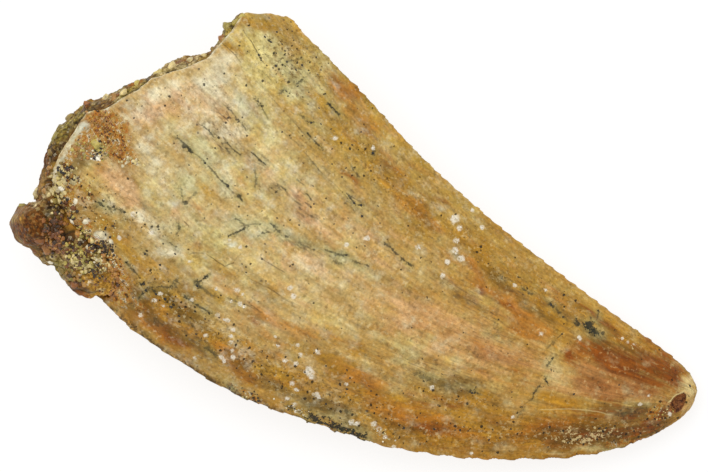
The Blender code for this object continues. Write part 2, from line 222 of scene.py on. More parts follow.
# Soft stains: pixels right, pixels down, reach along, reach across, slope in degrees, strength. The cream,
# peach and lemon strokes near the tip, from 550 to 670 pixels right and 370 to 400 down, and the large cream
# ones near 218, 90 are partly painted highlight.
stains = {
    "lemon": [
        (250, 55, 44, 24, 60, 1.0), (285, 75, 34, 22, 45, 0.7), (262, 130, 44, 20, 50, 0.6),
        (235, 175, 50, 20, 48, 0.6), (170, 195, 40, 18, 38, 0.5), (205, 235, 40, 16, 30, 0.6),
        (180, 262, 40, 12, 20, 0.6), (105, 190, 26, 14, 40, 0.6), (300, 180, 40, 14, 45, 0.4),
        (350, 240, 40, 10, 35, 0.3), (215, 262, 40, 10, 20, 0.5), (540, 425, 40, 14, -4, 0.5),
        (556, 378, 16, 10, 10, 0.3), (640, 322, 30, 6, 32, 0.4), (330, 115, 40, 8, 45, 0.4),
        (600, 300, 26, 7, 36, 0.4), (410, 345, 40, 14, 20, 0.4), (315, 58, 24, 12, 45, 0.6),
        (75, 190, 12, 10, 0, 0.4), (692, 390, 5, 13, 75, 0.6),
    ],
    "cream": [
        (218, 88, 34, 22, 30, 1.0), (170, 92, 46, 14, -25, 0.9), (150, 130, 44, 30, 30, 0.3),
        (300, 266, 60, 14, 32, 0.1), (216, 174, 26, 14, 45, 0.4), (304, 172, 24, 12, 45, 0.35),
        (172, 246, 20, 12, 10, 0.5), (216, 68, 22, 12, -35, 0.6), (160, 170, 34, 22, 40, 0.3),
        (262, 240, 50, 12, 40, 0.15), (300, 205, 40, 14, 45, 0.3), (245, 125, 34, 30, 45, 0.35),
        (392, 176, 20, 8, 45, 0.3), (556, 376, 24, 16, 20, 0.6), (686, 404, 7, 11, 60, 0.7),
        (566, 450, 24, 4, -4, 0.5), (574, 388, 16, 10, 20, 0.5), (122, 118, 10, 9, 0, 0.6),
        (210, 100, 24, 12, 30, 0.4), (325, 278, 34, 12, 30, 0.3), (150, 222, 22, 10, 20, 0.5),
        (130, 212, 14, 7, 10, 0.6), (100, 236, 9, 6, 20, 0.7), (160, 255, 20, 8, 10, 0.4),
        (222, 64, 26, 10, -40, 0.6), (228, 90, 18, 13, 20, 0.7), (692, 380, 6, 12, 60, 1.0),
        (205, 130, 34, 18, 40, 0.4), (648, 398, 30, 4, 15, 0.5), (63, 146, 4, 9, -45, 0.5),
        (56, 178, 4, 22, -85, 0.5), (693, 392, 4, 12, 80, 0.9), (205, 62, 14, 6, -35, 0.7),
        (590, 448, 30, 4, -6, 0.6), (378, 290, 40, 10, 30, 0.25), (440, 345, 40, 16, 22, 0.25),
    ],
    "peach": [
        (165, 106, 34, 14, -20, 0.8), (120, 182, 18, 13, 10, 1.0), (128, 200, 16, 9, 0, 0.5),
        (430, 322, 70, 20, 28, 0.85), (500, 352, 50, 18, 22, 0.75), (352, 236, 40, 14, 32, 0.5),
        (300, 205, 24, 14, 40, 0.5), (630, 391, 42, 7, 14, 0.7), (590, 388, 20, 9, 15, 0.6),
        (395, 240, 30, 12, 38, 0.35), (215, 108, 34, 12, 30, 0.45), (684, 406, 8, 12, 60, 0.6),
        (592, 388, 26, 10, 15, 0.5), (178, 215, 10, 8, 0, 0.6), (262, 176, 26, 10, 45, 0.3),
        (290, 246, 16, 3, 20, 0.6), (270, 318, 40, 8, 32, 0.4), (560, 388, 16, 7, 10, 0.5),
        (300, 262, 44, 12, 32, 0.35),
    ],
    "haze": [
        (198, 150, 30, 10, 42, 0.9), (222, 185, 26, 9, 48, 0.45), (250, 108, 26, 8, 55, 0.6),
        (242, 226, 30, 10, 20, 0.9), (262, 176, 14, 12, 60, 0.6), (300, 243, 40, 7, 22, 0.9),
        (352, 261, 26, 7, 20, 0.8), (184, 190, 20, 14, 50, 0.8), (175, 222, 20, 8, 20, 0.4),
        (165, 236, 14, 8, 0, 0.6), (150, 206, 20, 6, 10, 0.7), (452, 384, 44, 6, 12, 0.6),
        (400, 352, 30, 12, 20, 0.6), (560, 312, 32, 6, 36, 0.8), (636, 411, 26, 6, -8, 0.35),
        (175, 290, 44, 9, 12, 0.4), (125, 254, 22, 7, 38, 0.6), (285, 64, 24, 12, 45, 0.8),
        (300, 88, 22, 10, 50, 0.7), (100, 208, 16, 5, 10, 0.8), (330, 412, 50, 7, 22, 0.9),
        (590, 326, 24, 7, 20, 0.8), (315, 120, 20, 9, 45, 0.5), (240, 392, 30, 6, 28, 0.6),
        (95, 262, 18, 14, 20, 0.8), (505, 340, 30, 6, 28, 0.4), (66, 172, 8, 12, 0, 0.6),
        (455, 262, 18, 14, 50, 0.3), (600, 448, 40, 4, -6, 0.6), (250, 228, 26, 8, 10, 0.6),
        (322, 252, 30, 5, 20, 0.5), (385, 420, 20, 6, 20, 0.4),
    ],
    "ochre": [
        (296, 40, 26, 8, 45, 0.35), (86, 196, 16, 22, 60, 0.8), (110, 222, 20, 9, 30, 0.7),
        (130, 250, 44, 11, 38, 0.7), (228, 275, 42, 10, 30, 0.5), (535, 432, 70, 15, -4, 1.0),
        (480, 418, 60, 16, 8, 0.9), (290, 385, 50, 13, 28, 0.7), (110, 290, 40, 12, 38, 0.8),
        (300, 22, 20, 8, 20, 0.6), (255, 28, 30, 8, 5, 0.8), (232, 50, 16, 5, 45, 0.7),
        (380, 165, 50, 14, 45, 0.7), (330, 118, 40, 14, 45, 0.6), (560, 402, 30, 8, 6, 0.7),
        (470, 250, 60, 16, 42, 0.6), (535, 300, 50, 12, 38, 0.7), (620, 335, 40, 9, 33, 0.6),
        (210, 345, 60, 18, 34, 0.7), (390, 405, 60, 14, 20, 0.8), (600, 340, 20, 9, 30, 0.6),
        (420, 290, 40, 10, 35, 0.3), (240, 160, 14, 5, 45, 0.3), (205, 190, 30, 6, 45, 0.3),
        (460, 396, 50, 10, 10, 0.7), (350, 345, 44, 14, 26, 0.5), (262, 246, 24, 10, 20, 0.3),
        (568, 320, 26, 9, 36, 0.7), (568, 350, 18, 10, 20, 0.5), (436, 428, 60, 12, 12, 0.7),
        (160, 305, 44, 14, 36, 0.9), (332, 364, 44, 12, 24, 0.8), (192, 294, 40, 9, 14, 0.7),
        (414, 430, 40, 9, 14, 0.7), (565, 428, 46, 10, -4, 0.6), (480, 438, 80, 8, 2, 0.8),
        (575, 312, 24, 8, 36, 0.6),
    ],
    "orange": [
        (105, 130, 22, 20, 60, 1.0), (118, 148, 14, 12, 60, 0.8), (345, 90, 30, 9, 45, 0.8),
        (322, 76, 14, 6, 45, 0.4), (160, 325, 44, 13, 38, 1.0), (365, 385, 44, 12, 22, 0.7),
        (98, 172, 14, 8, 0, 0.6), (430, 425, 50, 12, 12, 1.0), (305, 94, 14, 6, 45, 0.3),
        (418, 205, 40, 10, 43, 0.55), (478, 282, 40, 10, 36, 0.7), (520, 312, 30, 10, 30, 0.7),
        (235, 360, 50, 12, 34, 0.7), (75, 300, 24, 7, 38, 0.8), (265, 345, 34, 8, 35, 0.5),
        (340, 210, 20, 5, 45, 0.3), (370, 130, 30, 7, 45, 0.6), (120, 268, 14, 8, 40, 0.7),
        (262, 314, 44, 9, 32, 0.6), (530, 330, 40, 8, 22, 0.5), (552, 434, 44, 12, -4, 0.9),
        (666, 408, 14, 6, -40, 0.4), (310, 330, 40, 8, 30, 0.35), (470, 370, 40, 6, 14, 0.4),
        (585, 355, 22, 10, 20, 0.6), (480, 345, 20, 6, 20, 0.4),
    ],
    "umber": [
        (165, 300, 36, 7, 20, 0.6), (205, 350, 60, 6, 33, 0.5), (330, 414, 34, 5, 22, 0.9),
        (612, 432, 52, 12, -9, 1.0), (660, 420, 24, 7, -35, 0.7), (72, 178, 7, 9, 0, 0.8),
        (85, 258, 16, 12, 20, 0.9), (592, 332, 16, 5, 20, 0.8), (104, 122, 9, 8, 40, 0.5),
        (250, 398, 20, 5, 25, 0.8), (66, 230, 10, 18, 10, 0.8), (455, 388, 34, 5, 10, 0.5),
        (500, 282, 34, 5, 36, 0.6), (545, 318, 30, 6, 36, 0.5), (478, 308, 20, 5, 34, 0.5),
        (445, 286, 18, 6, 30, 0.4), (575, 436, 44, 8, -6, 0.7), (150, 312, 50, 5, 38, 0.6),
        (255, 372, 50, 5, 32, 0.5), (140, 300, 22, 6, 40, 0.5), (560, 338, 24, 6, 26, 0.3),
        (400, 178, 30, 6, 45, 0.15), (622, 345, 34, 7, 30, 0.5), (604, 342, 24, 9, 26, 0.6),
        (648, 366, 24, 5, 30, 0.5), (622, 411, 36, 8, -4, 1.0), (590, 345, 20, 7, 24, 0.4),
        (84, 161, 11, 7, 0, 0.7), (120, 302, 26, 6, 38, 0.5), (460, 381, 44, 9, 12, 0.5),
        (562, 312, 24, 6, 36, 0.4), (182, 310, 34, 12, 30, 0.45), (414, 428, 34, 8, 14, 0.5),
        (130, 302, 22, 9, 30, 0.35), (260, 322, 12, 8, 30, 0.4), (326, 366, 30, 6, 24, 0.25),
        (606, 325, 20, 5, 34, 0.5), (600, 404, 14, 6, 0, 0.4), (104, 150, 10, 5, 80, 0.5),
        (430, 222, 26, 6, 42, 0.35), (300, 400, 30, 5, 24, 0.4),
    ],
    "rust": [
        (569, 354, 7, 4, 20, 1.0), (600, 359, 16, 4, 12, 0.6), (616, 363, 22, 5, 22, 0.9),
        (637, 373, 18, 4, 28, 0.7), (652, 360, 40, 10, 30, 0.75), (676, 379, 14, 7, 30, 1.0),
        (632, 371, 52, 11, 23, 0.8), (614, 372, 30, 6, 20, 0.6), (622, 414, 30, 5, -6, 0.7),
        (602, 388, 24, 7, 20, 0.4), (646, 422, 22, 6, -24, 0.8), (430, 430, 30, 5, 10, 0.5),
        (663, 412, 12, 5, -40, 0.7), (616, 354, 30, 7, 26, 0.3), (605, 430, 44, 8, -6, 0.6),
        (585, 345, 22, 6, 26, 0.25), (665, 396, 14, 4, 20, 0.4), (610, 400, 30, 6, 8, 0.4),
        (425, 402, 26, 4, 16, 0.5), (480, 292, 6, 4, 20, 0.9), (512, 308, 18, 3, 30, 0.7),
        (384, 160, 18, 5, 45, 0.6), (432, 200, 20, 5, 42, 0.3), (175, 335, 26, 5, 38, 0.6),
        (262, 325, 22, 4, 35, 0.4), (525, 375, 22, 4, 12, 0.3), (590, 313, 24, 3, 32, 0.6),
        (445, 398, 24, 3, 10, 0.4), (345, 180, 14, 4, 45, 0.5), (655, 345, 20, 4, 32, 0.5),
        (104, 120, 9, 5, 70, 0.4), (360, 395, 22, 3, 20, 0.4), (300, 246, 8, 2, 15, 0.7),
        (208, 330, 10, 4, 30, 0.4),
    ],
    "ridge": [
        (606, 386, 34, 12, 14, 0.7), (618, 380, 44, 8, 20, 0.8), (640, 392, 30, 8, 16, 0.6),
        (585, 380, 18, 12, 40, 0.5), (500, 356, 30, 10, 20, 0.5), (478, 352, 14, 8, 10, 0.4),
        (230, 122, 22, 8, 45, 0.2), (222, 140, 22, 7, 42, 0.25), (290, 200, 20, 12, 30, 0.35),
        (300, 215, 16, 8, 20, 0.35), (258, 158, 12, 5, 45, 0.2), (470, 300, 16, 6, 40, 0.4),
        (500, 318, 22, 6, 20, 0.35),
    ],
    "chalk": [
        (77, 136, 17, 6, -55, 1.0), (60, 158, 8, 4, -60, 0.6), (55, 170, 12, 4, -75, 0.6),
        (612, 449, 24, 2.5, -8, 0.5), (150, 222, 12, 6, 10, 0.35), (172, 207, 10, 5, 20, 0.3),
        (95, 158, 8, 5, 20, 0.4), (137, 212, 10, 6, 0, 0.25), (692, 384, 4, 8, 60, 0.5),
        (645, 404, 14, 4, 10, 0.4), (100, 234, 7, 6, 0, 0.7), (200, 257, 10, 5, 20, 0.4),
        (455, 262, 4, 4, 0, 0.3), (414, 320, 6, 6, 0, 0.4), (236, 242, 9, 4, -10, 0.6),
        (240, 352, 8, 20, -10, 0.3),
    ],
}

# Where short dark scratches lie thick along the growth lines
hatches = [
    (229, 118, 20, 9, 45, 1.0), (219, 139, 26, 9, 40, 1.0), (259, 160, 11, 6, 45, 0.9),
    (279, 188, 10, 6, 40, 0.8), (303, 207, 14, 10, 45, 0.9), (355, 200, 10, 6, 40, 0.9),
    (300, 140, 40, 8, 45, 0.35), (396, 254, 20, 5, 42, 0.5), (225, 258, 8, 6, 30, 0.5),
    (310, 250, 40, 8, 20, 0.5), (200, 345, 50, 10, 35, 0.5), (350, 390, 60, 12, 22, 0.4),
    (470, 300, 50, 12, 35, 0.5), (500, 345, 60, 20, 25, 0.35), (430, 370, 60, 12, 14, 0.5),
    (530, 300, 40, 8, 38, 0.5),
]
# Where sandy crust is stuck to the enamel
crusts = [
    (100, 117, 22, 13, 40, 1.0), (92, 140, 20, 13, 20, 1.0), (114, 144, 16, 14, 60, 0.9),
    (66, 160, 8, 16, 20, 0.8), (86, 240, 14, 12, 40, 0.9), (100, 258, 16, 10, 50, 0.9),
    (112, 276, 14, 8, 60, 0.8), (118, 126, 14, 8, 60, 0.6), (62, 184, 12, 14, 0, 1.0),
    (66, 206, 12, 12, 0, 1.0), (86, 226, 14, 8, 30, 0.6), (92, 252, 18, 14, 30, 1.0),
    (104, 262, 12, 10, 30, 0.9), (76, 182, 10, 8, 10, 0.7), (120, 130, 8, 6, 20, 0.5),
    (330, 430, 30, 3, 22, 0.3), (298, 408, 16, 3, 24, 0.3), (382, 432, 14, 8, 30, 0.4),
    (250, 396, 22, 5, 30, 0.7), (655, 411, 20, 7, -35, 0.6), (130, 160, 10, 6, 0, 0.5),
    (620, 443, 26, 5, -8, 0.6), (122, 282, 14, 9, 60, 0.8), (118, 298, 14, 7, 40, 0.7),
    (140, 306, 16, 6, 40, 0.4),
]
# Where cream flakes of a thin skin are left on the enamel
flakes = [
    (584, 438, 32, 9, -4, 1.3), (632, 344, 10, 5, 30, 0.7), (606, 428, 20, 6, 0, 0.9),
    (566, 433, 12, 8, -30, 1.2), (375, 428, 14, 7, 30, 0.6), (430, 388, 9, 5, 10, 0.9),
    (130, 158, 9, 6, 0, 0.6), (340, 428, 20, 5, 22, 0.5), (476, 262, 10, 3, 30, 0.7),
    (110, 292, 26, 5, 38, 0.4), (650, 394, 16, 3, 14, 0.6), (101, 268, 8, 5, 30, 0.9),
]
# Where the enamel is strewn with fine dark and pale specks
speckles = [
    (290, 60, 44, 34, 45, 0.9), (180, 100, 50, 14, -25, 0.45), (370, 165, 70, 18, 45, 0.6),
    (160, 290, 60, 18, 30, 0.8), (240, 350, 90, 18, 34, 0.7), (340, 400, 80, 18, 24, 0.7),
    (480, 432, 110, 16, 2, 0.7), (95, 205, 26, 30, 70, 0.8), (150, 225, 40, 16, 20, 0.6),
    (600, 432, 60, 12, -8, 0.8), (120, 145, 26, 26, 0, 0.5), (480, 255, 60, 14, 43, 0.5),
    (560, 300, 50, 10, 38, 0.5), (450, 395, 60, 10, 10, 0.6), (230, 130, 30, 18, 45, 0.4),
    (660, 415, 30, 14, -30, 0.8),
]

# Dark lines: points in pixels, half width in pixels, strength
streaks = [
    ([(176, 137), (182, 142), (188, 148)], 0.7, 0.8), ([(184, 145), (188, 148), (192, 152)], 1.9, 0.95),
    ([(192, 152), (199, 157), (205, 163)], 0.4, 0.5), ([(203, 162), (206, 164)], 1.2, 1.0),
    ([(206, 164), (216, 175), (227, 186)], 0.5, 0.75), ([(226, 184), (228, 187)], 1.0, 1.0),
    ([(229, 189), (234, 193)], 0.4, 0.5), ([(238, 195), (242, 201)], 1.0, 0.9),
    ([(258, 100), (261, 105), (264, 111)], 1.2, 1.0), ([(264, 111), (268, 119)], 0.5, 0.5),
    ([(254, 98), (257, 101)], 0.6, 0.6), ([(224, 105), (231, 111), (238, 119)], 0.5, 0.7),
    ([(236, 119), (240, 123)], 1.3, 0.8), ([(242, 125), (246, 130)], 0.5, 0.6),
    ([(198, 123), (203, 126), (209, 131)], 0.5, 0.6), ([(209, 131), (214, 137)], 0.7, 0.7),
    ([(225, 142), (233, 149), (240, 155)], 0.5, 0.7), ([(221, 143), (229, 152)], 0.5, 0.5),
    ([(252, 152), (259, 159), (266, 165)], 0.7, 0.85), ([(255, 168), (256, 178), (255, 188)], 0.6, 0.55),
    ([(307, 133), (314, 141), (322, 148)], 0.7, 0.8), ([(299, 115), (304, 118)], 0.7, 0.6),
    ([(307, 121), (313, 123)], 0.9, 0.9), ([(328, 103), (334, 109), (338, 115)], 1.0, 0.95),
    ([(309, 159), (314, 164), (319, 170)], 0.7, 0.5), ([(347, 194), (352, 200), (356, 204)], 1.2, 0.85),
    ([(354, 203), (361, 206)], 1.1, 0.8), ([(345, 203), (355, 211)], 0.4, 0.5),
    ([(352, 168), (358, 177)], 0.9, 0.7), ([(278, 184), (285, 190)], 0.7, 0.7),
    ([(271, 188), (277, 192)], 0.9, 0.8), ([(306, 194), (311, 200)], 0.9, 0.8),
    ([(295, 201), (301, 205)], 0.5, 0.6), ([(297, 180), (304, 185)], 0.5, 0.6),
    ([(305, 213), (313, 217)], 0.5, 0.5), ([(229, 236), (235, 233), (241, 230), (247, 226)], 1.0, 0.9),
    ([(248, 225), (254, 224), (261, 224)], 0.5, 0.55), ([(234, 218), (240, 221), (246, 226)], 0.6, 0.7),
    ([(258, 236), (263, 233), (268, 232)], 1.1, 0.7),
    ([(271, 224), (276, 229), (282, 234), (288, 237)], 1.1, 0.75), ([(300, 243), (306, 247)], 1.3, 0.5),
    ([(308, 247), (318, 252)], 0.8, 0.55), ([(326, 251), (334, 253)], 0.8, 0.6),
    ([(334, 254), (348, 256)], 1.2, 0.7), ([(333, 258), (341, 265)], 1.5, 0.45),
    ([(355, 262), (362, 264)], 1.2, 0.6), ([(365, 264), (369, 266)], 1.0, 0.6),
    ([(384, 243), (390, 248)], 0.8, 0.8), ([(392, 250), (398, 254)], 0.8, 0.85),
    ([(401, 257), (404, 260)], 1.1, 0.8), ([(407, 262), (411, 266)], 1.2, 0.85),
    ([(170, 242), (174, 246), (178, 248)], 0.9, 0.9), ([(196, 284), (201, 280), (207, 276)], 1.2, 1.0),
    ([(194, 281), (199, 283)], 1.3, 0.8), ([(198, 286), (200, 288)], 1.6, 0.9),
    ([(202, 288), (210, 294), (218, 297)], 1.2, 0.45), ([(227, 298), (236, 301)], 0.7, 0.5),
    ([(248, 303), (262, 312)], 0.6, 0.5), ([(185, 297), (191, 301)], 0.9, 0.8),
    ([(193, 303), (203, 308), (212, 314)], 0.6, 0.75), ([(141, 284), (143, 288), (148, 292)], 1.5, 1.0),
    ([(143, 292), (139, 299), (134, 306)], 1.0, 0.75), ([(146, 289), (158, 286), (166, 287)], 1.2, 0.55),
    ([(166, 288), (176, 285)], 2.2, 0.5), ([(174, 282), (178, 280)], 1.8, 0.65),
    ([(153, 290), (156, 292)], 1.4, 0.8), ([(126, 262), (132, 268), (137, 274)], 0.9, 0.6),
    ([(120, 292), (126, 296)], 1.4, 0.7), ([(108, 285), (118, 294)], 1.2, 0.4),
    ([(128, 303), (136, 303)], 1.8, 0.55), ([(98, 203), (104, 206)], 1.1, 0.8),
    ([(105, 206), (111, 209)], 0.8, 0.6), ([(116, 209), (124, 212)], 1.3, 0.6),
    ([(180, 184), (181, 190)], 1.1, 0.7), ([(181, 192), (183, 201)], 0.5, 0.5),
    ([(183, 202), (186, 204), (188, 202)], 1.1, 0.8), ([(190, 199), (196, 192)], 0.7, 0.45),
    ([(179, 222), (180, 230), (176, 235)], 0.8, 0.6), ([(144, 252), (148, 256)], 0.9, 0.6),
    ([(182, 327), (187, 335)], 2.2, 0.5), ([(190, 322), (197, 330)], 1.2, 0.45),
    ([(206, 347), (216, 356)], 1.5, 0.6), ([(204, 340), (212, 352)], 0.8, 0.5),
    ([(86, 268), (100, 262)], 2.4, 0.6), ([(575, 321), (580, 324)], 2.2, 0.9),
    ([(584, 323), (590, 327), (597, 333)], 3.8, 1.0), ([(588, 321), (592, 324)], 3.2, 1.0),
    ([(597, 331), (603, 334)], 1.8, 0.75), ([(599, 312), (598, 318), (594, 322)], 1.0, 0.75),
    ([(549, 304), (554, 307)], 1.8, 0.75), ([(557, 310), (566, 318)], 1.2, 0.6),
    ([(522, 288), (532, 294)], 0.9, 0.7), ([(500, 274), (512, 282)], 2.4, 0.3),
    ([(288, 62), (302, 58)], 0.7, 0.5), ([(281, 92), (286, 90)], 1.3, 0.7), ([(297, 84), (303, 80)], 0.9, 0.6),
    ([(262, 72), (270, 80)], 0.5, 0.4), ([(616, 415), (630, 412), (644, 408)], 2.8, 0.4),
    ([(618, 416), (624, 415)], 2.0, 0.5), ([(308, 416), (320, 421), (334, 426)], 4.6, 1.0),
    ([(334, 426), (350, 432), (366, 438)], 3.8, 1.0), ([(287, 406), (296, 410), (304, 414)], 1.6, 0.7),
    ([(345, 411), (356, 415)], 1.0, 0.4), ([(246, 396), (254, 401)], 1.6, 0.7),
    ([(228, 384), (236, 390)], 1.4, 0.5), ([(414, 373), (422, 377), (430, 380)], 2.2, 0.45),
    ([(442, 385), (452, 387)], 1.6, 0.35), ([(471, 390), (476, 393)], 1.8, 0.85),
    ([(494, 326), (500, 329)], 2.6, 0.3), ([(492, 336), (500, 332)], 2.4, 0.25),
    ([(70, 168), (74, 176)], 2.2, 0.8), ([(375, 151), (372, 155)], 1.6, 0.8),
    ([(372, 95), (375, 98)], 1.0, 0.6), ([(468, 347), (478, 356)], 2.6, 0.3),
    ([(200, 342), (196, 334)], 1.4, 0.4), ([(160, 326), (154, 318)], 2.0, 0.4),
    ([(553, 341), (549, 347)], 1.0, 0.5), ([(553, 358), (550, 362), (547, 366)], 1.1, 0.8),
    ([(546, 378), (546, 381), (548, 384)], 1.1, 0.9), ([(540, 386), (535, 393), (533, 400)], 1.0, 0.75),
    ([(525, 407), (519, 415)], 0.8, 0.35),
]

# Hairline cracks: points in pixels, strength
hairlines = [
    ([(243, 30), (250, 40), (256, 50), (260, 58), (264, 63)], 0.9), ([(221, 42), (230, 50), (240, 61)], 0.9),
    ([(223, 40), (231, 48), (238, 55)], 0.5), ([(268, 94), (279, 106)], 0.4),
    ([(290, 118), (300, 130), (308, 139)], 0.5),
    ([(282, 132), (296, 143), (308, 156), (318, 169), (334, 184), (352, 203)], 0.4),
    ([(190, 254), (197, 253), (205, 254)], 0.55),
    ([(208, 255), (216, 261), (225, 267), (231, 264), (235, 263)], 0.8),
    ([(261, 258), (272, 265), (284, 272)], 0.75), ([(233, 264), (238, 256)], 0.5),
    ([(242, 271), (251, 279), (261, 284), (273, 291), (287, 301)], 0.6), ([(280, 298), (296, 304)], 0.4),
    ([(575, 325), (568, 330)], 0.5), ([(563, 333), (557, 338)], 0.8), ([(551, 369), (551, 371)], 1.0),
    ([(534, 398), (523, 406), (517, 418)], 0.4), ([(184, 222), (188, 226)], 0.8),
    ([(300, 330), (322, 346)], 0.25), ([(420, 270), (436, 282)], 0.25), ([(452, 345), (470, 354)], 0.2),
    ([(228, 300), (246, 305), (262, 313)], 0.5),
]
# Pale scratches: points in pixels, strength; the second is a painted highlight along the upper rim of the chip
# at the tip
paleScratchesAndRimHighlight = [
    ([(540, 410), (568, 409), (585, 410), (598, 412), (611, 415)], 0.55),
    ([(668, 403), (675, 396), (684, 391)], 1.0),
]

# Outline of the small chip at the tip, in pixels
chip = [(670, 402), (676, 396), (685, 391), (687, 397), (685, 404), (681, 411), (674, 414), (668, 411)]

# White mineral spots: pixels right and down, radius in pixels
whiteSpots = [
    (455, 219, 4.6), (460, 228, 3.0), (456, 241, 3.0), (455, 251, 3.4), (460, 259, 3.6), (447, 262, 3.0),
    (443, 276, 3.2), (482, 227, 2.8), (472, 210, 2.0), (418, 247, 2.8), (367, 238, 3.2), (347, 245, 2.6),
    (514, 285, 2.4), (546, 290, 2.0), (275, 337, 1.6), (277, 346, 1.8), (298, 345, 2.0), (300, 355, 2.8),
    (285, 361, 2.4), (296, 364, 2.4), (318, 352, 2.8), (335, 138, 2.8), (373, 147, 2.6), (541, 333, 2.0),
    (579, 338, 2.6), (62, 188, 3.4), (75, 200, 2.0), (75, 222, 3.4), (87, 221, 3.6), (100, 236, 4.4),
    (110, 242, 3.0), (57, 172, 3.0), (104, 250, 3.4), (96, 158, 3.6), (97, 143, 2.4), (129, 158, 3.0),
    (136, 163, 2.6), (71, 190, 2.2), (190, 262, 1.8), (622, 338, 1.8), (628, 341, 1.6), (634, 344, 1.4),
    (640, 404, 2.0), (649, 396, 2.2), (670, 414, 2.4), (119, 238, 2.6), (133, 214, 3.0),
    (152, 232, 2.6), (237, 290, 3.0), (216, 289, 2.2), (290, 288, 3.0), (294, 296, 3.0), (229, 240, 2.2),
    (240, 247, 2.4), (154, 301, 2.6), (160, 294, 2.4), (163, 306, 1.8), (141, 315, 2.4), (192, 300, 2.0),
    (243, 294, 1.8), (240, 304, 2.6), (244, 307, 1.8), (231, 302, 2.0), (218, 315, 2.6), (228, 321, 2.2),
    (224, 320, 1.6), (233, 330, 2.6), (231, 336, 2.4), (231, 342, 2.2), (232, 351, 2.4), (233, 357, 2.6),
    (205, 335, 2.2), (221, 357, 2.6), (224, 361, 2.0), (195, 358, 2.0), (309, 371, 5.0), (311, 376, 3.0),
    (316, 395, 3.6), (319, 398, 2.2), (292, 384, 2.6), (296, 390, 2.4), (287, 399, 2.4), (294, 405, 2.6),
    (346, 384, 2.2), (351, 422, 3.2), (357, 423, 3.0), (374, 424, 3.2), (379, 429, 3.0), (385, 437, 2.6),
    (394, 447, 2.6), (299, 412, 2.4), (432, 388, 2.6), (513, 417, 2.0), (472, 453, 2.0), (296, 412, 2.0),
    (340, 438, 1.8), (358, 443, 1.8),
]

